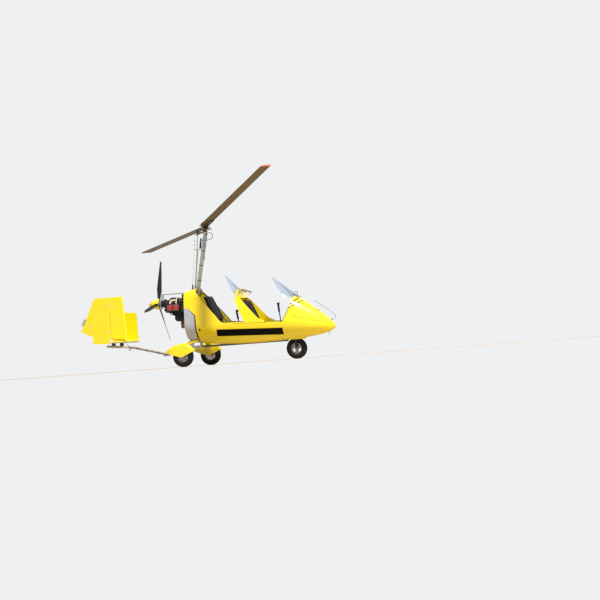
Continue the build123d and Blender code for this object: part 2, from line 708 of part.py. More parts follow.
tilt = radians(TEETER_REST)
hub_axis = blade_dir * cos(tilt) + up * sin(tilt)
hub_up = up * cos(tilt) - blade_dir * sin(tilt)
teeter_point = Vector(HEAD_X, 0, TEETER_Z)
hub_centre = teeter_point - hub_up * UNDERSLING
HUB_T = 24.0
HUB_HALF_W = 42.0
ARM_T = 10.0
ARM_END = 480.0
cone = radians(PRECONE)
blade_frames = []
for side in (1, -1):
    out = hub_axis * (side * cos(cone)) + hub_up * sin(cone)
    normal = hub_up * cos(cone) - hub_axis * (side * sin(cone))
    blade_frames.append((out, normal))

with BuildPart() as hub_bar:
    with BuildSketch(Plane(origin=hub_centre - hub_up * (HUB_T / 2), x_dir=hub_axis, z_dir=hub_up)):
        Rectangle(150, 2 * HUB_HALF_W)
    extrude(amount=HUB_T)
    with BuildSketch(Plane(origin=hub_centre, x_dir=hub_axis, z_dir=hub_up)):
        Rectangle(56, 2 * HUB_HALF_W)
    extrude(amount=UNDERSLING)
    with BuildSketch(Plane(origin=teeter_point, x_dir=hub_axis, z_dir=chord_dir)):
        Circle(28)
    extrude(amount=HUB_HALF_W, both=True)
    with BuildSketch(Plane(origin=teeter_point, x_dir=hub_axis, z_dir=chord_dir)):
        Circle(TEETER_PIN_R + PIN_GAP)
    extrude(amount=HUB_HALF_W + 5, both=True, mode=Mode.SUBTRACT)
    for out, normal in blade_frames:
        with BuildSketch(Plane(origin=hub_centre + out * 60 - normal * (HUB_T / 2 + 0.5), x_dir=out, z_dir=normal)):
            with Locations(((ARM_END - 60) / 2, 0)):
                Rectangle(ARM_END - 60, 2 * HUB_HALF_W)
        extrude(amount=ARM_T)
save(hub_bar.part, "hub_bar")

with BuildPart() as rotor_blades:
    for out, normal in blade_frames:
        lead = normal.cross(out)
        root = hub_centre + out * BLADE_ROOT - normal * (HUB_T / 2 + 0.5 - ARM_T - SEAT_GAP)
        with BuildSketch(Plane(origin=root, x_dir=lead, z_dir=out)) as blade_section:
            with BuildLine():
                ThreePointArc((-150, 4), (-10, 22), (40, 15))
                ThreePointArc((40, 15), (50, 7), (40, 1))
                Line((40, 1), (-150, 1))
                Line((-150, 1), (-150, 4))
            make_face()
        extrude(amount=ROTOR_R - BLADE_ROOT)
save(rotor_blades.part, "rotor_blades")

# Engine: flat four with geared output, hung behind the firewall
CRANK_Z = 1135.0
CASE_FRONT = -425.0
CASE_REAR = -700.0
CYL_X = (-492.0, -612.0)
CYL_R = 54.0
CASE_HALF = 88.0
HEAD_Y = 225.0
COVER_Y = 272.0
with BuildPart() as engine_block:
    with BuildSketch(Plane.YZ.offset(CASE_REAR)):
        with BuildLine():
            Polyline((CASE_HALF, 1085), (CASE_HALF, 1190), (52, 1262), (-52, 1262), (-CASE_HALF, 1190),
                     (-CASE_HALF, 1085), (-55, 1040), (55, 1040), close=True)
        make_face()
    extrude(amount=CASE_FRONT - CASE_REAR)
    with BuildSketch(Plane.YZ.offset(CASE_FRONT)):
        with Locations((0, 1150)):
            Circle(92)
    extrude(amount=70)
    with BuildSketch(Plane.XY.offset(1262 - 1)):
        with Locations((-560, 0)):
            RectangleRounded(170, 70, 20)
    extrude(amount=26)
    # four mounting feet reach forward to the firewall
    for y, z in ((62, 1070), (-62, 1070), (62, 1225), (-62, 1225)):
        with BuildSketch(Plane.YZ.offset(CASE_FRONT - 5)):
            with Locations((y, z)):
                Circle(13)
        extrude(amount=BODY_REAR + 8 - SEAT_GAP - CASE_FRONT + 5)
save(engine_block.part, "engine_block")

FIN_T = 3.0
FINS = 8
with BuildPart() as engine_cylinders:
    for x in CYL_X:
        for side in (1, -1):
            with BuildSketch(Plane.XZ.offset(-side * (CASE_HALF + SEAT_GAP))):
                with Locations((x, CRANK_Z)):
                    RegularPolygon(40, 8, major_radius=False, rotation=22.5)
            extrude(amount=-side * (HEAD_Y - CASE_HALF - SEAT_GAP))
            for step in range(FINS):
                fin_y = CASE_HALF + 12 + step * 14.5
                with BuildSketch(Plane.XZ.offset(-side * fin_y)):
                    with Locations((x, CRANK_Z)):
                        RegularPolygon(CYL_R, 8, major_radius=False, rotation=22.5)
                extrude(amount=-side * FIN_T)
            with BuildSketch(Plane.XZ.offset(-side * HEAD_Y)):
                with Locations((x, CRANK_Z)):
                    RectangleRounded(112, 122, 20)
            extrude(amount=-side * (COVER_Y - HEAD_Y))
save(engine_cylinders.part, "engine_cylinders")

with BuildPart() as rocker_covers:
    for x in CYL_X:
        for side in (1, -1):
            with BuildSketch(Plane.XZ.offset(-side * (COVER_Y + SEAT_GAP))):
                with Locations((x, CRANK_Z)):
                    RectangleRounded(106, 100, 34)
            extrude(amount=-side * 26, taper=18)
            with BuildSketch(Plane.XZ.offset(-side * (COVER_Y + 18))):
                with Locations((x, CRANK_Z)):
                    Circle(11)
            extrude(amount=-side * 16)
save(rocker_covers.part, "rocker_covers")

HUB_FRONT = -885.0
NOSE_R = 56.0
with BuildPart() as gearbox:
    with BuildSketch(Plane.YZ.offset(CASE_REAR - SEAT_GAP)):
        with Locations((0, 1200)):
            Circle(92)
        with Locations((0, 1120)):
            Circle(70)
    extrude(amount=-70)
    with BuildSketch(Plane.XZ):
        with BuildLine():
            Polyline((CASE_REAR - 60, PROP_Z), (CASE_REAR - 60, PROP_Z + 84), (CASE_REAR - 85, PROP_Z + 84),
                     (CASE_REAR - 148, PROP_Z + NOSE_R), (HUB_FRONT + SEAT_GAP, PROP_Z + NOSE_R),
                     (HUB_FRONT + SEAT_GAP, PROP_Z), close=True)
        make_face()
    revolve(axis=Axis((0, 0, PROP_Z), (1, 0, 0)))
save(gearbox.part, "gearbox")

with BuildPart() as carburettors:
    for x, y in ((-470.0, 120.0), (-470.0, -120.0)):
        with BuildSketch(Plane.YZ.offset(x - 36)):
            with Locations((y, 1262)):
                Circle(38)
        extrude(amount=72)
        with BuildSketch(Plane.XY.offset(CRANK_Z + CYL_R + SEAT_GAP)):
            with Locations((x, y)):
                Circle(26)
        extrude(amount=60)
        with BuildSketch(Plane.XY.offset(1262)):
            with Locations((x, y)):
                Circle(30)
        extrude(amount=52)
save(carburettors.part, "carburettors")

with BuildPart() as radiator:
    with BuildSketch(Plane.YZ.offset(BODY_REAR + 8 - SEAT_GAP - 52)):
        with Locations((0, 1336)):
            RectangleRounded(300, 84, 10)
    extrude(amount=52)
    with BuildSketch(Plane.YZ.offset(BODY_REAR + 8 - SEAT_GAP - 56)):
        with GridLocations(0, 9, 1, 9):
            with Locations((0, 1336)):
                Rectangle(276, 3)
    extrude(amount=8)
    with BuildSketch(Plane.YZ.offset(BODY_REAR + 8 - SEAT_GAP - 62)):
        with Locations((150, 1336), (-150, 1336)):
            RectangleRounded(30, 92, 12)
    extrude(amount=62)
save(radiator.part, "radiator")

PIPE_R = 19.0
with BuildPart() as exhaust_silencer:
    with BuildSketch(Plane.XZ):
        with Locations((-455, 935)):
            RectangleRounded(210, 120, 55)
    extrude(amount=165, both=True)
    for x, foot_x in zip(CYL_X, (-470.0, -520.0)):
        for side in (1, -1):
            port = Vector(x, side * 148, CRANK_Z - CYL_R - SEAT_GAP)
            elbow = port - Vector(0, 0, 30)
            foot = Vector(foot_x, side * 120, 950)
            with BuildSketch(Plane(origin=port, x_dir=(1, 0, 0), z_dir=(0, 0, -1))):
                Circle(PIPE_R)
            extrude(amount=30)
            with BuildSketch(Plane(origin=elbow, z_dir=foot - elbow)):
                Circle(PIPE_R)
            extrude(amount=(foot - elbow).length)
            with Locations(elbow):
                Sphere(PIPE_R)
    with BuildSketch(Plane.XZ):
        with Locations((-410, 810)):
            RectangleRounded(140, 150, 30)
    extrude(amount=70, both=True)
    with BuildSketch(Plane.XZ):
        with Locations((-410, 765)):
            Circle(30)
    extrude(amount=190)
save(exhaust_silencer.part, "exhaust_silencer")

STRUT_Z = 1404.0
with BuildPart() as engine_strut:
    with BuildSketch(Plane.YZ.offset(BODY_REAR + 8 - SEAT_GAP)):
        with Locations((0, STRUT_Z)):
            Circle(11)
    extrude(amount=-(840 + BODY_REAR))
    with BuildSketch(Plane.XZ):
        with BuildLine():
            Polyline((-812, 1418), (-858, 1418), (-862, 1322), (-800, 1312), close=True)
        make_face()
    extrude(amount=16, both=True)
    with BuildSketch(Plane.YZ.offset(-866)):
        with Locations((0, PROP_Z)):
            Circle(98)
            Circle(NOSE_R + SEAT_GAP, mode=Mode.SUBTRACT)
    extrude(amount=14)
    with BuildSketch(Plane.YZ.offset(-860)):
        with Locations((0, 1323)):
            Rectangle(40, 30)
    extrude(amount=40)
save(engine_strut.part, "engine_strut")

# Propeller: hub, three twisted blades and the pointed spinner
HUB_R = 62.0
SPINNER_R = 103.0
SPINNER_BASE = PROP_X + 29.0 - SEAT_GAP
with BuildPart() as propeller_hub:
    with BuildSketch(Plane.YZ.offset(HUB_FRONT)):
        with Locations((0, PROP_Z)):
            Circle(HUB_R)
    extrude(amount=-66)
    with BuildSketch(Plane.YZ.offset(PROP_X + 29)):
        with Locations((0, PROP_Z)):
            Circle(SPINNER_R)
    extrude(amount=5)
save(propeller_hub.part, "propeller_hub")

# Outline of a blade section. Columns: share of the half chord, share of the half thickness
LENS = (
    (-1.0, 0.0), (-0.65, 0.62), (-0.1, 1.0), (0.5, 0.9), (0.9, 0.45), (1.0, 0.0), (0.9, -0.4), (0.4, -0.6),
    (-0.4, -0.45),
)
# Blade sections. Columns: radius, chord, thickness, pitch angle
BLADE_AT = (
    (60.0, 44.0, 36.0, 40.0), (280.0, 118.0, 20.0, 33.0), (560.0, 100.0, 13.0, 21.0), (PROP_R, 50.0, 7.0, 13.0),
)
with BuildPart() as propeller_blades:
    for angle in PROP_ANGLES:
        out = Vector(0, sin(radians(angle)), cos(radians(angle)))
        side_way = Vector(0, cos(radians(angle)), -sin(radians(angle)))
        for radius, chord, thick, pitch in BLADE_AT:
            chord_way = side_way * cos(radians(pitch)) + Vector(1, 0, 0) * sin(radians(pitch))
            origin = Vector(PROP_X, 0, PROP_Z) + out * (radius + SEAT_GAP + 2.2)
            with BuildSketch(Plane(origin=origin, x_dir=chord_way, z_dir=out)):
                with BuildLine():
                    Polyline(*[(chord / 2 * across, thick / 2 * rise) for across, rise in LENS], close=True)
                make_face()
        loft(ruled=True)
save(propeller_blades.part, "propeller_blades")

SPINNER_TIP = -1120.0
SPINNER_T = 4.0
# Columns: x, outer r
SPINNER_LINE = ((SPINNER_BASE, SPINNER_R), (-955.0, 98.0), (-1040.0, 70.0), (SPINNER_TIP, 9.0))
with BuildPart() as spinner:
    for wall, mode in ((0.0, Mode.ADD), (SPINNER_T, Mode.SUBTRACT)):
        with BuildSketch(Plane.XZ):
            with BuildLine():
                rim_line = [(x + wall, PROP_Z + r - wall) for x, r in SPINNER_LINE]
                Polyline((SPINNER_BASE + wall, PROP_Z), *rim_line, (SPINNER_TIP + wall, PROP_Z), close=True)
            make_face()
        revolve(axis=Axis((0, 0, PROP_Z), (1, 0, 0)), mode=mode)
    for angle in PROP_ANGLES:
        out = Vector(0, sin(radians(angle)), cos(radians(angle)))
        with BuildSketch(Plane(origin=Vector(PROP_X, 0, PROP_Z) + out * (HUB_R - 20), x_dir=(1, 0, 0), z_dir=out)):
            Rectangle(48, 56)
        extrude(amount=80, mode=Mode.SUBTRACT)
save(spinner.part, "spinner")

# Landing gear: one sprung bow from wheel to wheel
BOW_FLAT = 60.0
BOW_OUT = TRACK_HALF - 69.0
BOW_WALL = 24.0
BOW_TOP = ((BOW_FLAT, 508.0), (BOW_OUT, 440.0), (BOW_OUT, 178.0))
BOW_LOW = ((BOW_OUT - BOW_WALL, 178.0), (BOW_OUT - BOW_WALL, 412.0), (BOW_FLAT, BOW_Z))
with BuildPart() as gear_bow:
    with BuildSketch(Plane.YZ.offset(-330)):
        with BuildLine():
            FilletPolyline(BOW_TOP[0], BOW_TOP[1], BOW_TOP[2], radius=110)
            Line(BOW_TOP[2], BOW_LOW[0])
            FilletPolyline(BOW_LOW[0], BOW_LOW[1], BOW_LOW[2], radius=88)
            Polyline(BOW_LOW[2], (0, BOW_Z), (0, BOW_TOP[0][1]), BOW_TOP[0])
        make_face()
        mirror(about=Plane.YZ)
    extrude(amount=300)
    with BuildSketch(Plane.XY.offset(100)):
        with BuildLine():
            Polyline((-98.5, 0), (-98.5, 110), (-170, 640), (-185, 900), (-265, 900), (-272, 640), (-212, 110),
                     (-212, 0), close=True)
        make_face()
        mirror(about=Plane.XZ)
    extrude(amount=500, mode=Mode.INTERSECT)
save(gear_bow.part, "gear_bow")

AXLE_R = 12.0
AXLE_OVER = 44.0
with BuildPart() as main_axles:
    for side in (1, -1):
        with BuildSketch(Plane.XZ.offset(-side * (BOW_OUT + SEAT_GAP))):
            with Locations((MAIN_X, WHEEL_R)):
                Circle(20)
        extrude(amount=-side * 7)
        with BuildSketch(Plane.XZ.offset(-side * (BOW_OUT + SEAT_GAP))):
            with Locations((MAIN_X, WHEEL_R)):
                Circle(AXLE_R)
        extrude(amount=-side * (TRACK_HALF + AXLE_OVER - BOW_OUT))
save(main_axles.part, "main_axles")

# Teardrop fenders. Columns: x, half width, top z, corner r
FENDER = (
    (-576.0, 9.0, 306.0, 7.0), (-480.0, 50.0, 376.0, 34.0), (-400.0, 63.0, 410.0, 44.0), (-310.0, 66.0, 436.0, 48.0),
    (-200.0, 67.0, 444.0, 48.0), (-90.0, 66.0, 412.0, 44.0), (-26.0, 62.0, 340.0, 34.0), (-6.0, 46.0, 296.0, 24.0),
)
FENDER_LOW = 150.0
FENDER_WALL = 4.0
FENDER_EDGE = ((-700.0, 330.0), (-574.0, 298.0), (-425.0, 238.0), (-245.0, 184.0), (-3.0, 286.0), (120.0, 336.0),
               (120.0, 600.0), (-700.0, 600.0))


def fender_shape(side, inset):
    """Closed teardrop over one wheel, drawn in by an inset."""
    outlines = {}
    for x, half, top, corner_r in FENDER:
        end = inset if x < -500 else (-inset if x > -50 else 0)
        corners = ((half, FENDER_LOW, 0), (half, top, corner_r), (0, top, 0))
        crown = rounded(corners, inset, CORNER_CHORDS)
        outlines[x + end] = [(half - inset, FENDER_LOW)] + crown
    return ribbed([(x, side * TRACK_HALF) for x in outlines], outlines.get)


with BuildPart() as fenders:
    for side in (1, -1):
        add(fender_shape(side, 0.0))
    for side in (1, -1):
        add(fender_shape(side, FENDER_WALL), mode=Mode.SUBTRACT)
    add(side_prism(FENDER_EDGE, 1200.0), mode=Mode.INTERSECT)
    with BuildSketch(Plane.XZ):
        with Locations((MAIN_X, WHEEL_R)):
            Circle(AXLE_R + 9)
    extrude(amount=TRACK_HALF, both=True, mode=Mode.SUBTRACT)
save(fenders.part, "fenders")


# Wheels: three-spoke rim and hollow tyre, revolved about the axle
def rim(centre_x, centre_y, bore_r, hub_half):
    """Cast rim with three spokes."""
    plane = Plane(origin=(centre_x, centre_y, WHEEL_R), x_dir=(1, 0, 0), z_dir=(0, 1, 0))
    with BuildPart() as wheel:
        with BuildSketch(plane.offset(-38)):
            Circle(RIM_R - 0.4)
            Circle(RIM_R - 9, mode=Mode.SUBTRACT)
        extrude(amount=76)
        with BuildSketch(plane.offset(-hub_half)):
            Circle(30)
        extrude(amount=2 * hub_half)
        with BuildSketch(plane.offset(-9)):
            Circle(RIM_R - 5)
            with PolarLocations(63, 3, start_angle=30):
                RectangleRounded(44, 66, 16, mode=Mode.SUBTRACT)
        extrude(amount=18)
        with BuildSketch(plane.offset(-60)):
            Circle(bore_r)
        extrude(amount=120, mode=Mode.SUBTRACT)
    return wheel.part


# Tyre section, half of it. Columns: distance from the middle plane, radius
TYRE_OUT = ((37.0, RIM_R), (52.0, 138.0), (48.0, 176.0), (30.0, 194.0), (12.0, WHEEL_R))
TYRE_IN = ((30.0, 182.0), (42.0, 145.0), (26.0, RIM_R))


def tyre(centre_x, centre_y):
    """Tyre with an open inside between its beads."""
    runs = ((1, TYRE_OUT), (-1, TYRE_OUT[::-1]), (-1, TYRE_IN[::-1]), (1, TYRE_IN))
    outline = [(side * across, WHEEL_R + r) for side, rows in runs for across, r in rows]
    with BuildPart() as ring:
        with BuildSketch(Plane.YZ.offset(centre_x)):
            with BuildLine():
                Polyline(*[(centre_y + across, z) for across, z in outline], close=True)
            make_face()
        revolve(axis=Axis((centre_x, 0, WHEEL_R), (0, 1, 0)))
    return ring.part


for name, side in (("left", 1), ("right", -1)):
    save(rim(MAIN_X, side * TRACK_HALF, AXLE_R + PIN_GAP, 38.0), f"main_rim_{name}")
    save(tyre(MAIN_X, side * TRACK_HALF), f"main_tyre_{name}")
NOSE_AXLE_R = 10.0
save(rim(NOSE_X, 0, NOSE_AXLE_R + PIN_GAP, 54.0), "nose_rim")
save(tyre(NOSE_X, 0), "nose_tyre")

FORK_IN = 60.0
FORK_T = 8.0
CROWN_Z = 424.0
with BuildPart() as nose_fork:
    for side in (1, -1):
        with BuildSketch(Plane.XZ.offset(-side * FORK_IN)):
            with BuildLine():
                Polyline((NOSE_X - 16, WHEEL_R), (NOSE_X + 16, WHEEL_R), (STEER_X + 30, CROWN_Z + 14),
                         (STEER_X - 30, CROWN_Z + 14), close=True)
            make_face()
            with Locations((NOSE_X, WHEEL_R)):
                Circle(20)
                Circle(NOSE_AXLE_R + SEAT_GAP, mode=Mode.SUBTRACT)
        extrude(amount=-side * FORK_T)
    with BuildSketch(Plane.XY.offset(CROWN_Z)):
        with Locations((STEER_X, 0)):
            RectangleRounded(64, 2 * (FORK_IN + FORK_T), 8)
    extrude(amount=14)
    with BuildSketch(Plane.XY.offset(CROWN_Z + 13)):
        with Locations((STEER_X, 0)):
            Circle(SLEEVE_R + 4)
    extrude(amount=WELL_TOP - CROWN_Z - 13 - SEAT_GAP)
    with BuildSketch(Plane.XY.offset(CROWN_Z)):
        with Locations((STEER_X, 0)):
            Circle(STEM_R)
    extrude(amount=SLEEVE_TOP + 20 - CROWN_Z)
save(nose_fork.part, "nose_fork")

NOSE_AXLE_BORE = 6.25
with BuildPart() as nose_axle:
    with BuildSketch(Plane.XZ):
        with Locations((NOSE_X, WHEEL_R)):
            Circle(NOSE_AXLE_R)
            Circle(NOSE_AXLE_BORE, mode=Mode.SUBTRACT)
    extrude(amount=FORK_IN + FORK_T + 12, both=True)
    for side in (1, -1):
        with BuildSketch(Plane.XZ.offset(-side * (FORK_IN + FORK_T + SEAT_GAP))):
            with Locations((NOSE_X, WHEEL_R)):
                RegularPolygon(16, 6)
                Circle(NOSE_AXLE_BORE, mode=Mode.SUBTRACT)
        extrude(amount=-side * 9)
save(nose_axle.part, "nose_axle")

# Tail: stabiliser with end fins, centre fin, hinged rudder and its trim tab
STAB_FRONT = -1655.0
STAB_REAR = -2000.0
STAB_T = 40.0
STAB_EDGE = 5.0         # half thickness at the trailing edge
SKIN = 3.0
END_T = 26.0
with BuildPart() as stabiliser:
    with BuildSketch(Plane.XZ):
        with BuildLine():
            nose_x = STAB_FRONT - STAB_T / 2
            ThreePointArc((nose_x, STAB_Z + STAB_T / 2), (STAB_FRONT, STAB_Z), (nose_x, STAB_Z - STAB_T / 2))
            Polyline((nose_x, STAB_Z - STAB_T / 2), (STAB_REAR, STAB_Z - STAB_EDGE), (STAB_REAR, STAB_Z + STAB_EDGE),
                     (nose_x, STAB_Z + STAB_T / 2))
        make_face()
        # hollow skin, closed at its ends by the end fins
        with BuildLine():
            front_half = STAB_T / 2 - SKIN
            rear_half = STAB_EDGE - SKIN + 0.6
            Polyline((nose_x, STAB_Z + front_half), (nose_x, STAB_Z - front_half), (STAB_REAR + 16, STAB_Z - rear_half),
                     (STAB_REAR + 16, STAB_Z + rear_half), close=True)
        make_face(mode=Mode.SUBTRACT)
    extrude(amount=TAIL_HALF - END_T / 2 - SEAT_GAP, both=True)
save(stabiliser.part, "stabiliser")

END_FIN = ((-1664.0, 538.0), (-1672.0, 1108.0), (-1905.0, 1131.0), (-1986.0, 640.0), (-1976.0, 552.0))
with BuildPart() as end_fins:
    for side in (1, -1):
        with BuildSketch(Plane.XZ.offset(-side * TAIL_HALF)):
            with BuildLine():
                FilletPolyline(*END_FIN, radius=28, close=True)
            make_face()
        extrude(amount=END_T / 2, both=True)
save(end_fins.part, "end_fins")

FIN_REAR = -1913.0
FIN_BASE_Z = 606.0
FIN_TOP_Z = 1430.0


def fin_section(nose_x, rear_x, half, z):
    """Rounded nose running back to a flat rear face."""
    with BuildSketch(Plane.XY.offset(z)) as section:
        with BuildLine():
            Polyline(
                (nose_x, half * 0.3), (nose_x - half * 0.35, half * 0.68), (nose_x - half, half * 0.92), (rear_x, half),
                (rear_x, -half), (nose_x - half, -half * 0.92), (nose_x - half * 0.35, -half * 0.68),
                (nose_x, -half * 0.3), close=True,
            )
        make_face()
    return section.sketch


TANG_Z = (760.0, 1290.0)
TANG_T = 10.0
HINGE_PIN_R = 6.0
DRAIN_R = 5.0
with BuildPart() as stab_room:
    with BuildSketch(Plane.XZ):
        with BuildLine():
            top_at = STAB_Z + STAB_T / 2 + SEAT_GAP
            Polyline((STAB_FRONT + 30, top_at), (STAB_FRONT - STAB_T / 2, top_at),
                     (STAB_REAR, STAB_Z + 5 + SEAT_GAP), (STAB_REAR, 400), (STAB_FRONT + 30, 400), close=True)
        make_face()
    extrude(amount=100, both=True)

with BuildPart() as centre_fin:
    loft(sections=[
        fin_section(-1588, FIN_REAR, 28, FIN_BASE_Z),
        fin_section(-1636, FIN_REAR, 22, FIN_TOP_Z),
    ], ruled=True)
    # hollow inside, with a drain hole down through the root
    loft(sections=[
        fin_section(-1588 - 2 * SKIN, FIN_REAR + SKIN, 28 - SKIN, FIN_BASE_Z + 3 * SKIN),
        fin_section(-1636 - 2 * SKIN, FIN_REAR + SKIN, 22 - SKIN, FIN_TOP_Z - SKIN),
    ], ruled=True, mode=Mode.SUBTRACT)
    for z in TANG_Z:
        with BuildSketch(Plane.XY.offset(z)):
            with Locations(((FIN_REAR + HINGE_X) / 2 + 3, 0)):
                Rectangle(FIN_REAR - HINGE_X + 6, 20)
            with Locations((HINGE_X, 0)):
                Circle(12)
                Circle(HINGE_PIN_R + PIN_GAP, mode=Mode.SUBTRACT)
        extrude(amount=TANG_T)
    # root block down to the stabiliser
    with BuildSketch(Plane.XY.offset(STAB_Z)):
        with Locations((-1765, 0)):
            RectangleRounded(230, 34, 12)
            Circle(DRAIN_R, mode=Mode.SUBTRACT)
    extrude(amount=FIN_BASE_Z - STAB_Z + 1)
    with BuildSketch(Plane.XY.offset(STAB_Z)):
        with Locations((-1765, 0)):
            Circle(DRAIN_R)
    extrude(amount=FIN_BASE_Z - STAB_Z + 4 * SKIN, mode=Mode.SUBTRACT)
    add(stab_room.part, mode=Mode.SUBTRACT)
save(centre_fin.part, "centre_fin")


def rudder_section(rear_x, half, z):
    """Round nose on the hinge line tapering to the trailing edge."""
    with BuildSketch(Plane.XY.offset(z)) as section:
        with BuildLine():
            nose = [(HINGE_X + half * sin(radians(turn)), half * cos(radians(turn))) for turn in range(0, 181, 20)]
            Polyline(*nose, (rear_x, -2.5), (rear_x, 2.5), close=True)
        make_face()
    return section.sketch


RUDDER_LOW = 624.0
RUDDER_TOP = 1430.0
RUDDER_REAR_TOP = -2208.0
RUDDER_LEAN = 0.5
with BuildPart() as rudder:
    loft(sections=[
        rudder_section(RUDDER_REAR_TOP - (RUDDER_TOP - RUDDER_LOW) * RUDDER_LEAN, 20, RUDDER_LOW),
        rudder_section(RUDDER_REAR_TOP, 19, RUDDER_TOP),
    ], ruled=True)
    with BuildSketch(Plane.XZ):
        with BuildLine():
            Polyline((-2900, 560), (-2900, 950), (-2519, 807), (-2258, 683), (-2250, 560), close=True)
        make_face()
    extrude(amount=100, both=True, mode=Mode.SUBTRACT)
    for z in TANG_Z:
        with BuildSketch(Plane.XY.offset(z - 6)):
            with Locations((HINGE_X, 0)):
                Circle(33)
                Circle(HINGE_PIN_R, mode=Mode.SUBTRACT)
        extrude(amount=TANG_T + 12, mode=Mode.SUBTRACT)
save(rudder.part, "rudder")

TAB_LOW = 914.0
TAB_HIGH = 1049.0
with BuildPart() as trim_tab:
    with BuildSketch(Plane.XZ):
        with BuildLine():
            rear_low = RUDDER_REAR_TOP - (RUDDER_TOP - TAB_LOW) * RUDDER_LEAN - SEAT_GAP
            rear_high = RUDDER_REAR_TOP - (RUDDER_TOP - TAB_HIGH) * RUDDER_LEAN - SEAT_GAP
            Polyline((rear_low, TAB_LOW), (rear_high, TAB_HIGH), (rear_high - 50, TAB_HIGH),
                     (rear_low - 50, TAB_LOW + 10), close=True)
        make_face()
    extrude(amount=1.5, both=True)
save(trim_tab.part, "trim_tab")

# Brackets from the boom up to the stabiliser
BOOM_SLOPE = (BOOM[3][1] - BOOM[2][1]) / (BOOM[3][0] - BOOM[2][0])
with BuildPart() as boom_room:
    with BuildSketch(Plane.XZ):
        with BuildLine():
            top_at = BOOM[2][1] + BOOM_H / 2 + SEAT_GAP
            Polyline((-1455, top_at), (-2100, top_at + (-2100 + 1455) * BOOM_SLOPE), (-2100, 380), (-1455, 380),
                     close=True)
        make_face()
    extrude(amount=100, both=True)

with BuildPart() as stab_over:
    with BuildSketch(Plane.XZ):
        with BuildLine():
            low_at = STAB_Z - STAB_T / 2 - SEAT_GAP
            Polyline((STAB_FRONT - STAB_T / 2, low_at), (STAB_REAR, STAB_Z - 5 - SEAT_GAP), (STAB_REAR, 700),
                     (STAB_FRONT + 60, 700), (STAB_FRONT + 60, low_at), close=True)
        make_face()
    extrude(amount=100, both=True)

with BuildPart() as tail_brackets:
    for x in (-1715.0, -1880.0):
        with BuildSketch(Plane.XY.offset(430)):
            with Locations((x, 0)):
                Rectangle(62, BOOM_W + 10)
        extrude(amount=STAB_Z - 430)
    add(boom_room.part, mode=Mode.SUBTRACT)
    add(stab_over.part, mode=Mode.SUBTRACT)
save(tail_brackets.part, "tail_brackets")

# Tie-down lug under the boom
LUG_X = -1560.0
LUG_Z = 400.0
LUG_BORE = 8.0
with BuildPart() as tie_down_lug:
    lug_top = BOOM[2][1] - BOOM_H / 2 + (LUG_X - BOOM[2][0]) * BOOM_SLOPE - SEAT_GAP
    with BuildSketch(Plane.XZ):
        with BuildLine():
            Polyline((LUG_X - 24, lug_top + 24 * -BOOM_SLOPE), (LUG_X + 24, lug_top + 24 * BOOM_SLOPE),
                     (LUG_X + 16, lug_top - 30), (LUG_X - 16, lug_top - 30), close=True)
        make_face()
        with Locations((LUG_X, LUG_Z)):
            Circle(16)
            Circle(LUG_BORE, mode=Mode.SUBTRACT)
    extrude(amount=6, both=True)
save(tie_down_lug.part, "tie_down_lug")
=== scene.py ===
"""Looks of a two-seat open-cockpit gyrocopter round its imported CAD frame. Metres, +X forward, +Y to port, +Z up."""
import math

import bmesh
import bpy
from mathutils import Matrix, Vector
from mathutils.bvhtree import BVHTree


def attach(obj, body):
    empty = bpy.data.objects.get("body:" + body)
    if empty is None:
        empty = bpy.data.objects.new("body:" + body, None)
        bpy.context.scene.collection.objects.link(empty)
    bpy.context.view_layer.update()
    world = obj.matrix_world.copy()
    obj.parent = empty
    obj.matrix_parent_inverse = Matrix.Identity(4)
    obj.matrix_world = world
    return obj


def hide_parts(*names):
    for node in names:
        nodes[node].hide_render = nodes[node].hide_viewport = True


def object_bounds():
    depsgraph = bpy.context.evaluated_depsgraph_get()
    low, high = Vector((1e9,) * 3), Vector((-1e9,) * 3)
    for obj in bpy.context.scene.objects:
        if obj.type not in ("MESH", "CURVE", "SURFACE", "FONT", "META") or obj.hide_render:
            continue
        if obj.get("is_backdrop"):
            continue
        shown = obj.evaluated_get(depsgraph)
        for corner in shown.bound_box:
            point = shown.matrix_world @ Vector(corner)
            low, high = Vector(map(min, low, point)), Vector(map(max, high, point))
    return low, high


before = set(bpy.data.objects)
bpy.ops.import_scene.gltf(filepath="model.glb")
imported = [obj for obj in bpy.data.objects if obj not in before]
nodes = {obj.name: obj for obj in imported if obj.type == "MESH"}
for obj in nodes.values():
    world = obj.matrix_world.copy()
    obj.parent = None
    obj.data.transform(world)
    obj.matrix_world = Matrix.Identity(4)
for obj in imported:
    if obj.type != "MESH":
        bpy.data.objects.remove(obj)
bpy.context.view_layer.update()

YELLOW = (0.96, 0.73, 0.0008)


# Materials

def new_node(tree, kind, inputs=(), **settings):
    """New node with its settings; an input takes a number, a colour or another node's output."""
    made = tree.nodes.new(kind)
    for key, value in settings.items():
        setattr(made, key, value)
    fill(tree, made, inputs)
    return made


def fill(tree, node, inputs):
    """Inputs of a node by name or number, each set to a value or wired from an output."""
    for key, value in dict(inputs).items():
        if isinstance(value, bpy.types.NodeSocket):
            tree.links.new(value, node.inputs[key])
        else:
            node.inputs[key].default_value = value


def shader_tree(name, inputs=()):
    """New material with its node tree and main shader."""
    mat = bpy.data.materials.new(name)
    mat.use_nodes = True
    tree = mat.node_tree
    shader = tree.nodes["Principled BSDF"]
    fill(tree, shader, inputs)
    return mat, tree, shader


def noise(tree, scale, detail=4.0, stretch=(1, 1, 1)):
    """Noise in the aircraft's frame, in cycles to the metre."""
    coords = new_node(tree, "ShaderNodeTexCoord").outputs["Object"]
    mapped = new_node(tree, "ShaderNodeMapping", {"Vector": coords, "Scale": stretch}).outputs["Vector"]
    return new_node(tree, "ShaderNodeTexNoise", {"Vector": mapped, "Scale": scale, "Detail": detail}).outputs["Fac"]


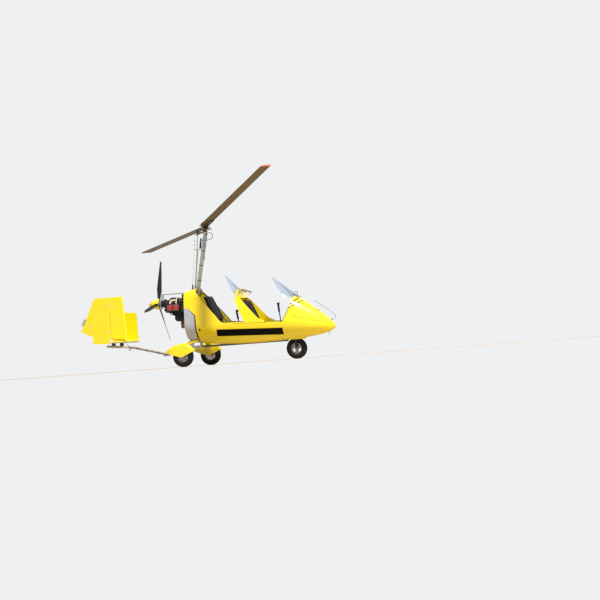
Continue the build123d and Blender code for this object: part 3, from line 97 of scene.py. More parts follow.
def ramp(tree, factor, low, high, low_at=0.3, high_at=0.7):
    """Two colours over a factor."""
    node = new_node(tree, "ShaderNodeValToRGB", {"Fac": factor})
    first, last = node.color_ramp.elements
    first.position, last.position = low_at, high_at
    first.color, last.color = (*low, 1), (*high, 1)
    return node.outputs["Color"]


def spread(tree, factor, low, high, start=0.0, end=1.0):
    """Factor mapped to a range of numbers."""
    return new_node(tree, "ShaderNodeMapRange", {"Value": factor, "From Min": start, "From Max": end, "To Min": low,
                                                 "To Max": high}).outputs["Result"]


def bump(tree, shader, height, strength, distance=0.001):
    """Fine relief of a height on the shader."""
    node = new_node(tree, "ShaderNodeBump", {"Strength": strength, "Distance": distance, "Height": height})
    tree.links.new(node.outputs["Normal"], shader.inputs["Normal"])


def tinted(color, share):
    """Colour times a share."""
    return tuple(min(c * share, 1.0) for c in color)


def finish(name, color, rough=(0.3, 0.4), metallic=0.0, coat=0.0, shade=0.85, scale=7.0, grain=60.0, relief=0.1,
           stretch=(1, 1, 1), specular=0.5):
    """Painted, moulded or bare surface: colour and gloss vary a little and a fine relief runs over it."""
    mat, tree, shader = shader_tree(name, {"Metallic": metallic, "Coat Weight": coat, "Coat Roughness": 0.06,
                                           "Specular IOR Level": specular})
    patch, fine = noise(tree, scale, 5.0, stretch), noise(tree, grain, 3.0, stretch)
    fill(tree, shader, {"Base Color": ramp(tree, patch, tinted(color, shade), color),
                        "Roughness": spread(tree, fine, rough[0], rough[1])})
    if relief > 0:
        bump(tree, shader, fine, relief, 0.0006)
    mat.diffuse_color = (*color, 1)
    return mat


def clear_sheet(name, color, share):
    """Clear acrylic with a faint tint: a gloss over what is seen through it."""
    mat, tree, shader = shader_tree(name, {"Base Color": (*color, 1), "Alpha": share})
    fill(tree, shader, {"Roughness": spread(tree, noise(tree, 9.0, 5.0, (1, 1, 3)), 0.04, 0.1)})
    return mat


def woven(name, color, step=0.004):
    """Woven cover: two crossed waves for the threads, with worn patches."""
    mat, tree, shader = shader_tree(name, {"Roughness": 0.86, "Sheen Weight": 0.06, "Specular IOR Level": 0.25})
    coords = new_node(tree, "ShaderNodeTexCoord").outputs["Object"]
    scale = math.pi / (step * 20)
    waves = [new_node(tree, "ShaderNodeTexWave", {"Vector": coords, "Scale": scale, "Distortion": 0.4},
                      bands_direction=direction).outputs["Fac"] for direction in ("X", "Z")]
    threads = new_node(tree, "ShaderNodeMath", {0: waves[0], 1: waves[1]}, operation="MULTIPLY").outputs["Value"]
    fill(tree, shader, {"Base Color": ramp(tree, noise(tree, 11.0), tinted(color, 0.7), tinted(color, 1.3))})
    bump(tree, shader, threads, 0.5, 0.0008)
    return mat


def tyre_rubber():
    """Black rubber with a little dust."""
    mat, tree, shader = shader_tree("tyre_rubber", {"Specular IOR Level": 0.2})
    fill(tree, shader, {"Base Color": ramp(tree, noise(tree, 16.0, 6.0), (0.003, 0.003, 0.003), (0.013, 0.012, 0.011)),
                        "Roughness": spread(tree, noise(tree, 90.0), 0.6, 0.8)})
    bump(tree, shader, noise(tree, 260.0), 0.25, 0.0006)
    return mat


def tinted_metal():
    """Sheet metal coloured by heat: brown at its foot, sooty above."""
    mat, tree, shader = shader_tree("heat_tinted", {"Metallic": 0.85, "Roughness": 0.38})
    coords = new_node(tree, "ShaderNodeTexCoord").outputs["Object"]
    split = new_node(tree, "ShaderNodeSeparateXYZ", {"Vector": coords})
    high = spread(tree, split.outputs["Z"], 0.0, 1.0, 0.74, 1.05)
    mixed = new_node(tree, "ShaderNodeMath", {0: noise(tree, 14.0), 1: 0.5, 2: high}, operation="MULTIPLY_ADD")
    fill(tree, shader, {"Base Color": ramp(tree, mixed.outputs["Value"], (0.16, 0.07, 0.024), (0.016, 0.014, 0.013),
                                           0.35, 0.85)})
    bump(tree, shader, noise(tree, 120.0), 0.15, 0.0006)
    return mat


mats = {
    "yellow": finish("yellow_gloss", YELLOW, (0.3, 0.36), coat=0.4, shade=0.97, relief=0.0, grain=20.0),
    "silver": finish("silver_paint", (0.5, 0.51, 0.54), (0.26, 0.36), 0.45, 0.3, 0.92),
    "black": finish("black_moulding", (0.007, 0.007, 0.007), (0.42, 0.58), shade=0.7, relief=0.25, specular=0.3),
    "gloss_black": finish("black_gloss", (0.003, 0.003, 0.003), (0.25, 0.35), specular=0.08),
    "clear": clear_sheet("clear_acrylic", (0.17, 0.27, 0.4), 0.3),
    "shell": finish("dark_moulding", (0.01, 0.01, 0.011), (0.45, 0.6), specular=0.3),
    "cover": woven("black_cover", (0.011, 0.011, 0.012)),
    "steel": finish("stainless", (0.5, 0.5, 0.49), (0.3, 0.42), 0.75, shade=0.88, scale=3.0, grain=20.0, relief=0.04),
    "machined": finish("machined_steel", (0.42, 0.42, 0.42), (0.25, 0.4), 0.95, shade=0.8, stretch=(1, 6, 1)),
    "boom": finish("beige_paint", (0.56, 0.51, 0.39), (0.35, 0.5), shade=0.75, scale=22.0),
    "black_metal": finish("black_paint", (0.008, 0.008, 0.009), (0.3, 0.45), shade=0.7, specular=0.35),
    "bronze": finish("bronze_anodised", (0.15, 0.1, 0.045), (0.3, 0.45), 0.6, shade=0.75),
    # blade colour: the dark gold-brown of the shaded underside, part the blades' own colour, part painted shade and
    # painted reflection of the brown ground
    "blade": finish("blade_gold_and_painted_shade", (0.135, 0.088, 0.012), (0.5, 0.56), 0.15, shade=0.88, scale=0.8, grain=2.0,
                    relief=0.0),
    "alloy": finish("cast_alloy", (0.13, 0.13, 0.13), (0.4, 0.6), 0.7, shade=0.6, grain=140.0, relief=0.3),
    "dark_alloy": finish("dark_cast_alloy", (0.016, 0.016, 0.017), (0.45, 0.65), 0.4, shade=0.6, grain=140.0,
                         relief=0.3),
    "red": finish("red_gloss", (0.45, 0.012, 0.01), (0.2, 0.3), coat=0.5),
    "heat": tinted_metal(),
    "prop": finish("black_composite", (0.006, 0.006, 0.007), (0.32, 0.42), specular=0.3),
    "rim": finish("rim_alloy", (0.3, 0.3, 0.3), (0.28, 0.42), 0.8, shade=0.7),
    "rubber": tyre_rubber(),
    "dull_steel": finish("dull_steel", (0.13, 0.128, 0.12), (0.4, 0.55), 0.5, shade=0.7),
    "mast_paint": finish("mast_paint", (0.68, 0.67, 0.62), (0.35, 0.5), scale=12.0),
    "sheet": finish("bare_sheet", (0.52, 0.49, 0.47), (0.35, 0.5), 0.35),
    "tip": finish("orange_tip", (0.75, 0.12, 0.02), (0.3, 0.4), shade=0.9),
    "hose": finish("hose_rubber", (0.006, 0.006, 0.006), (0.5, 0.65), shade=0.7, specular=0.3),
    "dial": finish("dial_face", (0.01, 0.01, 0.011), (0.4, 0.5)),
    "mark": finish("dial_marks", (0.7, 0.7, 0.68), (0.5, 0.6)),
    "sand": finish("pale_sand", (0.8, 0.62, 0.36), (0.3, 0.4), shade=0.95),
    "white": finish("white_paint", (0.72, 0.72, 0.7), (0.3, 0.4), shade=0.95),
    "harness": woven("harness_webbing", (0.02, 0.02, 0.022), 0.0025),
}

# Material of each CAD node
NODE_MATS = {
    "yellow": "fuselage_tub nose_cowl instrument_cowl seat_back_fairing headrest_fairing spinner gear_bow fenders "
              "stabiliser end_fins centre_fin rudder",
    "silver": "side_panels",
    "machined": "firewall mast_head_plates gimbal_block propeller_hub main_axles nose_axle tie_down_lug",
    "black": "rear_bulkhead instrument_panel carburettors",
    "clear": "front_windshield rear_windshield",
    "shell": "seat_shells",
    "cover": "front_cushions rear_cushions",
    "black_metal": "control_sticks hub_bar nose_fork tail_brackets",
    "dull_steel": "keel_tube",
    "steel": "frame_block engine_strut",
    "boom": "tail_boom",
    "mast_paint": "mast control_rods",
    "bronze": "head_bar rotor_tower gear_ring",
    "blade": "rotor_blades",
    "dark_alloy": "engine_block gearbox radiator",
    "alloy": "engine_cylinders",
    "red": "rocker_covers",
    "heat": "exhaust_silencer",
    "prop": "propeller_blades",
    "rim": "main_rim_left main_rim_right nose_rim",
    "rubber": "main_tyre_left main_tyre_right nose_tyre",
    "sheet": "trim_tab",
}


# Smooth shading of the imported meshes, below an edge angle

def smoothing(angle):
    """Modifier tree that joins a mesh's split corners and shades it smooth, but for edges over the angle."""
    tree = bpy.data.node_groups.new(f"smooth_{angle}", "GeometryNodeTree")
    for way in ("INPUT", "OUTPUT"):
        tree.interface.new_socket("Geometry", in_out=way, socket_type="NodeSocketGeometry")
    start, end = new_node(tree, "NodeGroupInput"), new_node(tree, "NodeGroupOutput")
    drop = new_node(tree, "GeometryNodeRemoveAttribute", {"Geometry": start.outputs[0], "Name": "custom_normal"})
    weld = new_node(tree, "GeometryNodeMergeByDistance", {"Geometry": drop.outputs["Geometry"], "Distance": 0.00002})
    faces = new_node(tree, "GeometryNodeSetShadeSmooth", {"Geometry": weld.outputs["Geometry"]})
    turn = new_node(tree, "GeometryNodeInputMeshEdgeAngle").outputs["Unsigned Angle"]
    over = new_node(tree, "FunctionNodeCompare", {"A": turn, "B": math.radians(angle)}).outputs["Result"]
    edges = new_node(tree, "GeometryNodeSetShadeSmooth", {"Geometry": faces.outputs["Geometry"], "Selection": over,
                                                          "Shade Smooth": False}, domain="EDGE")
    fill(tree, end, {0: edges.outputs["Geometry"]})
    return tree


SMOOTH = smoothing(32)
for mat_name, names in NODE_MATS.items():
    for node in [nodes[name] for name in names.split()]:
        node.data.materials.clear()
        node.data.materials.append(mats[mat_name])
        node.modifiers.new("smooth", "NODES").node_group = SMOOTH


# Making pieces


def link(name, data, mat, body="airframe"):
    """Object of the aircraft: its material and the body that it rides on."""
    item = bpy.data.objects.new(name, data)
    bpy.context.collection.objects.link(item)
    data.materials.append(mats[mat])
    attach(item, body)
    return item


def to_mesh(name, bm, flat_angle=35):
    """Mesh from a bmesh, smooth but for its sharp edges."""
    mesh = bpy.data.meshes.new(name)
    bmesh.ops.recalc_face_normals(bm, faces=bm.faces)
    bm.to_mesh(mesh)
    bm.free()
    mesh.shade_smooth()
    mesh.set_sharp_from_angle(angle=math.radians(flat_angle))
    return mesh


def frame_along(axis, place):
    """Matrix that turns +Z to an axis and moves to a place."""
    return Matrix.Translation(place) @ Vector(axis).to_track_quat("Z", "Y").to_matrix().to_4x4()


def join(bm, here, there, turned=False):
    """Faces between two rings of vertices."""
    for k, start in enumerate(here):
        after = (k + 1) % len(here)
        quad = (start, here[after], there[after], there[k])
        bm.faces.new((quad[0], *quad[:0:-1]) if turned else quad)


def join_round(bm, rings):
    """Faces between rings that stand round an axis."""
    for at, ring in enumerate(rings):
        join(bm, ring, rings[(at + 1) % len(rings)], True)


def loft(bm, rings):
    """Closed form through rings of vertices."""
    for here, there in zip(rings[:-1], rings[1:]):
        join(bm, here, there)
    bm.faces.new(rings[0])
    bm.faces.new(rings[-1][::-1])


class Batch:
    """Small items of one finish, gathered into one piece."""

    def __init__(self):
        self.bm = bmesh.new()

    def drum(self, place, axis, radius, length, sides=20, end_radius=None):
        """Cylinder or cone from a place along an axis."""
        tip = radius if end_radius is None else end_radius
        middle = Vector(place) + Vector(axis).normalized() * (length / 2)
        bmesh.ops.create_cone(self.bm, cap_ends=True, segments=sides, radius1=radius, radius2=tip, depth=length,
                              matrix=frame_along(axis, middle))

    def bolt(self, place, axis, radius, height):
        """Washer, hexagon head and the end of the thread."""
        self.drum(place, axis, radius * 1.35, height * 0.25, 18)
        self.drum(Vector(place) + Vector(axis).normalized() * height * 0.25, axis, radius, height * 0.75, 6)
        self.drum(Vector(place) + Vector(axis).normalized() * height, axis, radius * 0.5, height * 0.35, 12)

    def block(self, low, high, turn=None, bevel=0.0):
        """Box between two corners, turned by a matrix if given, its edges broken."""
        made = bmesh.ops.create_cube(self.bm, size=1.0)
        size = [b - a for a, b in zip(low, high)]
        middle = Vector([(a + b) / 2 for a, b in zip(low, high)])
        place = Matrix.Translation(middle) @ Matrix.Diagonal((*size, 1))
        bmesh.ops.transform(self.bm, matrix=(turn @ place) if turn else place, verts=made["verts"])
        if bevel:
            edges = list(dict.fromkeys(edge for vert in made["verts"] for edge in vert.link_edges))
            bmesh.ops.bevel(self.bm, geom=edges, offset=bevel, segments=2, affect="EDGES", profile=0.7)

    def tube(self, points, radius, sides=12, closed=False):
        """Round tube along points joined by a smooth line."""
        line = smooth_line(points, closed)
        rings = []
        up = Vector((0, 0, 1))
        for at, point in enumerate(line):
            after = line[(at + 1) % len(line)] if closed or at + 1 < len(line) else point
            before = line[at - 1] if closed or at else point
            along = (after - before).normalized()
            side = along.cross(up)
            if side.length < 0.2:
                side = along.cross(Vector((0, 1, 0)))
            side.normalize()
            top = side.cross(along)
            rings.append([
                self.bm.verts.new(point + (side * math.cos(a) + top * math.sin(a)) * radius)
                for a in [2 * math.pi * k / sides for k in range(sides)]
            ])
        count = len(rings)
        for at in range(count if closed else count - 1):
            join(self.bm, rings[at], rings[(at + 1) % count])
        if not closed:
            self.bm.faces.new(rings[0])
            self.bm.faces.new(rings[-1])

    def lathe(self, profile, place, axis, sides=64):
        """Closed profile of (radius, height) turned about an axis."""
        turn = frame_along(axis, place)
        rings = []
        for k in range(sides):
            a = 2 * math.pi * k / sides
            rings.append([self.bm.verts.new(turn @ Vector((r * math.cos(a), r * math.sin(a), h))) for r, h in profile])
        join_round(self.bm, rings)

    def band(self, radius, thick, wide, place, axis, sides):
        """Flat band round an axis, such as a clamp."""
        outer = radius + thick
        self.lathe([(radius, 0), (outer, 0), (outer, wide), (radius, wide)], place, axis, sides)

    def studs(self, tree_of, places, *rings):
        """Round fittings on both sides of a skin. Columns: height, radius, length, sides, end radius."""
        for x, z in places:
            for side in (1, -1):
                spot = side_hit(tree_of, x, z, side)
                if spot is None:
                    continue
                _, normal, _, _ = tree_of.find_nearest(spot)
                normal = normal if normal.y * side > 0 else -normal
                for height, *ring in rings:
                    self.drum(spot + normal * height, normal, *ring)

    def make(self, name, mat, body="airframe", slot=None, flat_angle=35):
        """The items as one piece."""
        return link(name, to_mesh(name, self.bm, flat_angle), mat, body)


def smooth_line(points, closed=False, steps=6):
    """Points of a smooth line through the given ones."""
    given = [Vector(p) for p in points]
    if len(given) == 2:
        return given
    out = []
    count = len(given)
    for at in range(count if closed else count - 1):
        near = [k % count if closed else min(max(k, 0), count - 1) for k in range(at - 1, at + 3)]
        p0, p1, p2, p3 = [given[k] for k in near]
        for step in range(steps):
            t = step / steps
            out.append(0.5 * (2 * p1 + (p2 - p0) * t + (2 * p0 - 5 * p1 + 4 * p2 - p3) * t * t
                              + (3 * p1 - p0 - 3 * p2 + p3) * t ** 3))
    if not closed:
        out.append(given[-1])
    return out


def surface_of(*names):
    """Search tree over the meshes of CAD nodes."""
    verts, faces = [], []
    for name in names:
        mesh = nodes[name].data
        base = len(verts)
        verts += [v.co.copy() for v in mesh.vertices]
        faces += [[base + k for k in poly.vertices] for poly in mesh.polygons]
    return BVHTree.FromPolygons(verts, faces)


def side_hit(tree_of, x, z, side, lift=0.0):
    """Point on the body's outer face at x and z, on one side."""
    hit, normal, _, _ = tree_of.ray_cast(Vector((x, side * 1.2, z)), Vector((0, -side, 0)))
    if hit is None or hit.y * side < 0:
        return None
    if normal.y * side < 0:
        normal = -normal
    return hit + normal * lift


def side_way(tree_of, line, side):
    """Points on the outer face along (x, z) points, where there is a face."""
    hits = [side_hit(tree_of, x, z, side) for x, z in line]
    return [hit for hit in hits if hit is not None]


def strip(name, tree_of, lines, mat, body="airframe", lift=0.0009, sides=(1, -1)):
    """Thin film on a skin between lines of (x, z) points given in the side view."""
    bm = bmesh.new()
    for side in sides:
        rows = [[side_hit(tree_of, x, z, side, lift) for x, z in line] for line in lines]
        for a, b in zip(rows[:-1], rows[1:]):
            verts_a = [bm.verts.new(p) if p is not None else None for p in a]
            verts_b = [bm.verts.new(p) if p is not None else None for p in b]
            for k in range(len(a) - 1):
                quad = (verts_a[k], verts_a[k + 1], verts_b[k + 1], verts_b[k])
                if all(v is not None for v in quad):
                    bm.faces.new(quad)
    loose = [v for v in bm.verts if not v.link_faces]
    bmesh.ops.delete(bm, geom=loose, context="VERTS")
    bmesh.ops.remove_doubles(bm, verts=bm.verts, dist=0.0001)
    return link(name, to_mesh(name, bm), mat, body)


def between(a, b, count):
    """Evenly spaced points from a to b."""
    return [tuple(p + (q - p) * k / count for p, q in zip(a, b)) for k in range(count + 1)]


def sided(points, side):
    """Points given on the port side, on either side."""
    return [(x, side * y, z) for x, y, z in points]


# Tyres with ribs and cut shoulders

WHEEL_R = 0.2
TYRE_LINE = (
    (0.103, 0.026), (0.103, 0.037), (0.109, 0.043), (0.116, 0.0455), (0.128, 0.0495), (0.142, 0.0515), (0.156, 0.0515),
    (0.17, 0.0495), (0.181, 0.046), (0.188, 0.0415), (0.1925, 0.037), (0.1955, 0.033), (0.19, 0.031), (0.19, 0.028),
    (0.1972, 0.026), (0.1988, 0.0155), (0.1925, 0.014), (0.1925, 0.0115), (0.1996, 0.01), (0.2, 0.0),
)
RIBS = 60
SHOULDER, SHOULDER_R, RIB_DEPTH = (0.027, 0.0475), 0.178, 0.0035


def tyre(name, node, x, y, body):
    """Tyre round an axle along Y; every second step of the shoulder is cut lower."""
    bm = bmesh.new()
    full = [(r, h) for r, h in TYRE_LINE] + [(r, -h) for r, h in TYRE_LINE[-2::-1]]
    inner = [(0.15, -0.043), (0.184, -0.028), (0.188, 0.0), (0.184, 0.028), (0.15, 0.043)]
    profile = full + inner
    rings = []
    sides = RIBS * 2
    for k in range(sides):
        a = 2 * math.pi * k / sides
        ring = []
        for r, h in profile:
            shoulder = SHOULDER[0] < abs(h) < SHOULDER[1] and r > SHOULDER_R
            low = RIB_DEPTH if shoulder and k % 4 in (0, 1) else 0.0
            reach = min(r - low, WHEEL_R)
            ring.append(bm.verts.new((x + reach * math.cos(a), y + h, WHEEL_R + reach * math.sin(a))))
        rings.append(ring)
    join_round(bm, rings)
    item = link(name, to_mesh(name, bm, 30), "rubber", body)
    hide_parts(node)


MAIN_X, MAIN_Y, NOSE_X = -0.225, 0.845, 1.758
# Columns: side's name, its tyre in the frame, x, y, body
WHEELS = (
    ("left", "main_tyre_left", MAIN_X, MAIN_Y, "main_wheel_left"),
    ("right", "main_tyre_right", MAIN_X, -MAIN_Y, "main_wheel_right"),
    ("nose", "nose_tyre", NOSE_X, 0.0, "nose_wheel"),
)
for name, *wheel in WHEELS:
    tyre(f"tyre_{name}", *wheel)

# Rim bolts, valves and brake discs
BOLT_R, STUD_R = 0.09, 0.036
for _, _, x, y, body in WHEELS:
    fittings = Batch()
    for side in (1, -1):
        for k in range(6):
            a = math.radians(60 * k + 30)
            place = (x + BOLT_R * math.cos(a), y + side * 0.009, WHEEL_R + BOLT_R * math.sin(a))
            fittings.bolt(place, (0, side, 0), 0.004, 0.005)
    fittings.drum((x + 0.086, y + 0.012, WHEEL_R + 0.02), (-0.4, 1, 0.1), 0.0032, 0.026, 12)
    fittings.make(f"rim_bolts_{body}", "machined", body)
for side, body in ((1, "main_wheel_left"), (-1, "main_wheel_right")):
    disc = Batch()
    inner_y = side * (MAIN_Y - 0.0305)
    disc.lathe([(0.045, -0.002), (0.088, -0.002), (0.088, 0.002), (0.045, 0.002)], (MAIN_X, inner_y, WHEEL_R),
               (0, 1, 0), 72)
    for k in range(5):
        a = math.radians(72 * k)
        place = (MAIN_X + STUD_R * math.cos(a), inner_y, WHEEL_R + STUD_R * math.sin(a))
        disc.drum(place, (0, side, 0), 0.013, 0.02, 14)
    disc.make(f"brake_disc_{body}", "machined", body)


# Cushions: crowned pads with sewn channels, and belts over them

PUFF_FRAMES = 20
MOST_MOVE = 0.007
PAD_ROWS, PAD_COLUMNS = 90, 40
HEM, HEM_HALF = 0.8, 0.03


def puff(item):
    """Cloth simulation of a closed cover under inner pressure: its sewn lines and underside hold."""
    mesh = item.data
    sewn = item.vertex_groups.new(name="sewn")
    sewn.add([at for at, mark in enumerate(mesh.attributes["sewn"].data) if mark.value], 1.0, "REPLACE")
    cloth = item.modifiers.new("cloth", "CLOTH")
    cloth.settings.vertex_group_mass = sewn.name
    cloth.settings.quality = 8
    cloth.settings.mass = 0.2
    cloth.settings.tension_stiffness = cloth.settings.compression_stiffness = 12.0
    cloth.settings.shear_stiffness = 4.0
    cloth.settings.bending_stiffness = 0.05
    cloth.settings.use_pressure = True
    cloth.settings.uniform_pressure_force = 4.0
    cloth.settings.shrink_min = -0.035
    cloth.settings.effector_weights.gravity = 0.0
    for at in range(1, PUFF_FRAMES + 1):
        bpy.context.scene.frame_set(at)
    shaped = item.evaluated_get(bpy.context.evaluated_depsgraph_get()).data
    moved = [vert.co.copy() for vert in shaped.vertices]
    item.modifiers.remove(cloth)
    bpy.context.scene.frame_set(1)
    for vert, place in zip(mesh.vertices, moved):
        move = place - vert.co
        if move.length > MOST_MOVE:
            move *= MOST_MOVE / move.length
        vert.co += move
    item.vertex_groups.remove(sewn)
    mesh.attributes.remove(mesh.attributes["sewn"])


def pad(name, node, origin, along, up, length, width, thick, channels, body="airframe"):
    """Closed padded form on a plane; along and up are its length and its outward direction."""
    along, up = Vector(along).normalized(), Vector(up).normalized()
    across = up.cross(along)
    bm = bmesh.new()
    sewn = bm.verts.layers.int.new("sewn")
    layers = []
    for face in (1, -1):
        grid = []
        for i in range(PAD_ROWS + 1):
            u = i / PAD_ROWS * 2 - 1
            line = []
            for j in range(PAD_COLUMNS + 1):
                v = j / PAD_COLUMNS * 2 - 1
                edge = (1 - abs(u) ** 8) ** 0.5 * (1 - abs(v) ** 6) ** 0.5
                pull = 1 - 0.022 * (1 - v * v) * abs(u) ** 3
                pull_v = 1 - 0.02 * (1 - u * u) * abs(v) ** 3
                phase = (u + 1) / 2 * channels
                seam = abs(phase - round(phase)) / 0.5
                crown = 0.82 + 0.18 * (1 - v * v)
                swell = (0.8 + 0.2 * min(1.0, seam * 2.6) ** 0.6) if face > 0 and 0.3 < phase < channels - 0.3 else 1.0
                border = 1 - 0.1 * math.exp(-((abs(v) - HEM) / HEM_HALF) ** 2) if face > 0 else 1.0
                crease = 0.018 * math.sin(9 * u + 4 * v) * math.sin(7 * v - 3 * u)
                height = face * thick / 2 * (edge * crown * swell * border + (crease if face > 0 else 0) * edge)
                if face < 0:
                    height = -thick / 2 * edge ** 0.35
                place = Vector(origin) + along * (u * length / 2 * pull) + across * (v * width / 2 * pull_v)
                vert = bm.verts.new(place + up * (height + thick / 2))
                on_seam = abs(phase - round(phase)) < 0.01 or abs(abs(v) - HEM) < 0.01
                vert[sewn] = int(face < 0 or on_seam)
                line.append(vert)
            grid.append(line)
        layers.append(grid)
        for i in range(PAD_ROWS):
            for j in range(PAD_COLUMNS):
                quad = (grid[i][j], grid[i + 1][j], grid[i + 1][j + 1], grid[i][j + 1])
                bm.faces.new(quad if face > 0 else quad[::-1])
    bmesh.ops.remove_doubles(bm, verts=bm.verts, dist=0.0006)
    item = link(name, to_mesh(name, bm, 60), "cover", body)
    puff(item)
    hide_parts(node)
    return item


# Columns: name, node, pan front, pan rear, back top
SEATS = (
    ("front", "front_cushions", (1.43, 0.56), (1.085, 0.52), (0.8, 1.165)),
    ("rear", "rear_cushions", (0.64, 0.735), (0.33, 0.695), (0.038, 1.3)),
)
PAD_T, SHELL_LIFT, PAD_W = 0.062, 0.0043, 0.404
BELT_LIFT = PAD_T + SHELL_LIFT + 0.006
BELT_HALF, BELT_HALF_T = 0.0225, 0.0009
# Columns: share of the back or pan, height over it, distance from the middle
BACK_BELT = ((0.985, 0.03, 0.075), (0.93, BELT_LIFT + 0.004, 0.078), (0.6, BELT_LIFT + 0.006, 0.085),
             (0.3, BELT_LIFT + 0.014, 0.07))
LAP_BELT = ((0.16, 0.02, 0.196), (0.22, BELT_LIFT - 0.006, 0.17), (0.33, BELT_LIFT + 0.004, 0.1))
belts, buckles = Batch(), Batch()
for name, node, pan_front, pan_rear, back_top in SEATS:
    pan_way = Vector((pan_front[0] - pan_rear[0], 0, pan_front[1] - pan_rear[1]))
    pan_up = Vector((-pan_way.z, 0, pan_way.x)).normalized()
    back_way = Vector((back_top[0] - pan_rear[0], 0, back_top[1] - pan_rear[1]))
    back_up = Vector((back_way.z, 0, -back_way.x)).normalized()
    corner = Vector((pan_rear[0], 0, pan_rear[1]))
    pan_at = corner + pan_way * 0.6 + pan_up * SHELL_LIFT
    back_at = corner + back_way * 0.6 + back_up * SHELL_LIFT
    pad(f"{name}_seat_pad", node, pan_at, pan_way, pan_up, pan_way.length * 0.72, PAD_W, PAD_T, 3)
    pad(f"{name}_back_pad", node, back_at, back_way, back_up, back_way.length * 0.74, PAD_W, PAD_T, 6)
    # belts: two over the shoulders, two over the lap, meeting in a round buckle
    buckle_at = corner + pan_way * 0.42 + pan_up * (BELT_LIFT + 0.012)
    for side in (1, -1):
        for way, up, table, last in ((back_way, back_up, BACK_BELT, (-0.03, 0.022, 0.006)),
                                     (pan_way, pan_up, LAP_BELT, (0, 0.024, 0))):
            route = [corner + way * share + up * rise + Vector((0, side * y, 0)) for share, rise, y in table]
            line = smooth_line(route + [buckle_at + Vector((last[0], side * last[1], last[2]))])
            rows = []
            for at, point in enumerate(line):
                ahead = line[min(at + 1, len(line) - 1)] - line[max(at - 1, 0)]
                wide = ahead.normalized().cross(up).normalized() * BELT_HALF
                thin = wide.normalized().cross(ahead.normalized()) * BELT_HALF_T
                rows.append([belts.bm.verts.new(point + a * wide + b * thin)
                             for a, b in ((1, 1), (-1, 1), (-1, -1), (1, -1))])
            loft(belts.bm, rows)
    buckles.drum(buckle_at - pan_up * 0.005, pan_up, 0.03, 0.016, 32)
    buckles.drum(buckle_at + pan_up * 0.011, pan_up, 0.017, 0.006, 24)
belts.make("harness_belts", "harness", flat_angle=50)
buckles.make("harness_buckles", "machined")


# Body: bands, seams, screws and small fittings

yellow_skin = surface_of("fuselage_tub", "nose_cowl", "seat_back_fairing", "instrument_cowl")
# Corners: top rear, low rear, top front, low front
BAND = ((0.303, 0.662), (0.294, 0.535), (1.6, 0.605), (1.597, 0.477))
band_rows = [between(rear, front, 60) for rear, front in zip(between(*BAND[:2], 8), between(*BAND[2:], 8))]
strip("side_band", yellow_skin, band_rows, "gloss_black")


def seam(name, line, half, mat="gloss_black", lift=0.0008, count=40):
    """Narrow line drawn on the shell along (x, z) points."""
    way = []
    for at in range(len(line) - 1):
        way += between(line[at], line[at + 1], count)[:-1 if at + 2 < len(line) else None]
    upper, lower = [], []
    for at, (x, z) in enumerate(way):
        x1, z1 = way[min(at + 1, len(way) - 1)]
        x0, z0 = way[max(at - 1, 0)]
        run = math.hypot(x1 - x0, z1 - z0)
        nx, nz = -(z1 - z0) / run * half, (x1 - x0) / run * half
        upper.append((x + nx, z + nz))
        lower.append((x - nx, z - nz))
    return strip(name, yellow_skin, [upper, lower], mat, lift=lift)


seam("cowl_seam_high", [(1.705, 0.987), (1.815, 1.07), (1.905, 1.142)], 0.0115, lift=0.0012)
seam("cowl_seam_low", [(1.738, 0.962), (1.87, 1.04), (1.985, 1.097)], 0.0085, lift=0.0012)
# pale dashed band between the two lines
band_rear, band_front = ((1.722, 0.9745), (1.945, 1.121))
for at in range(1, 9):
    a, b = (at + 0.16) / 9, (at + 0.84) / 9
    ends = [tuple(p + (q - p) * t for p, q in zip(band_rear, band_front)) for t in (a, b)]
    seam(f"cowl_dash_{at}", ends, 0.0085, "sand", 0.001, 6)
# black rim on the hood behind the front seat
hood_skin = surface_of("headrest_fairing")
rim = Batch()
for side in (1, -1):
    rim.tube(side_way(hood_skin, between((0.731, 1.392), (0.895, 1.322), 12), side), 0.0095, 10)
rim.make("hood_rim", "black")
seam("nose_seam", [(1.64, 0.866), (2.17, 0.7045), (2.4, 0.6695), (2.492, 0.6565)], 0.0022)
seam("hatch_seam", [(-0.04, 0.735), (-0.04, 0.62), (-0.12, 0.6)], 0.0016)
seam("tub_trim", [(0.64, 0.748), (0.9, 0.7415), (1.3, 0.728)], 0.003, lift=0.0006)

# Screws along the seams, filler caps
SCREWS = (
    (1.72, 0.862), (1.84, 0.826), (1.96, 0.79), (2.08, 0.754), (2.2, 0.718), (2.34, 0.697), (2.45, 0.68),
    (1.72, 0.814), (1.84, 0.778), (1.96, 0.742), (2.08, 0.706), (2.2, 0.679), (2.34, 0.657), (2.44, 0.642),
    (-0.085, 0.94), (-0.085, 0.8), (-0.085, 0.68), (-0.075, 0.56), (-0.23, 1.118), (-0.3, 1.118),
    (0.8, 1.12), (0.88, 1.02), (0.97, 0.92), (1.06, 0.83),
)
screws, caps = Batch(), Batch()
screws.studs(yellow_skin, SCREWS, (-0.001, 0.0052, 0.0026, 14, 0.0042))
screws.make("shell_screws", "machined")
caps.studs(yellow_skin, [(-0.039, 0.677)], (-0.002, 0.022, 0.008, 28, 0.019), (0.005, 0.01, 0.005, 20))
caps.make("filler_caps", "black")

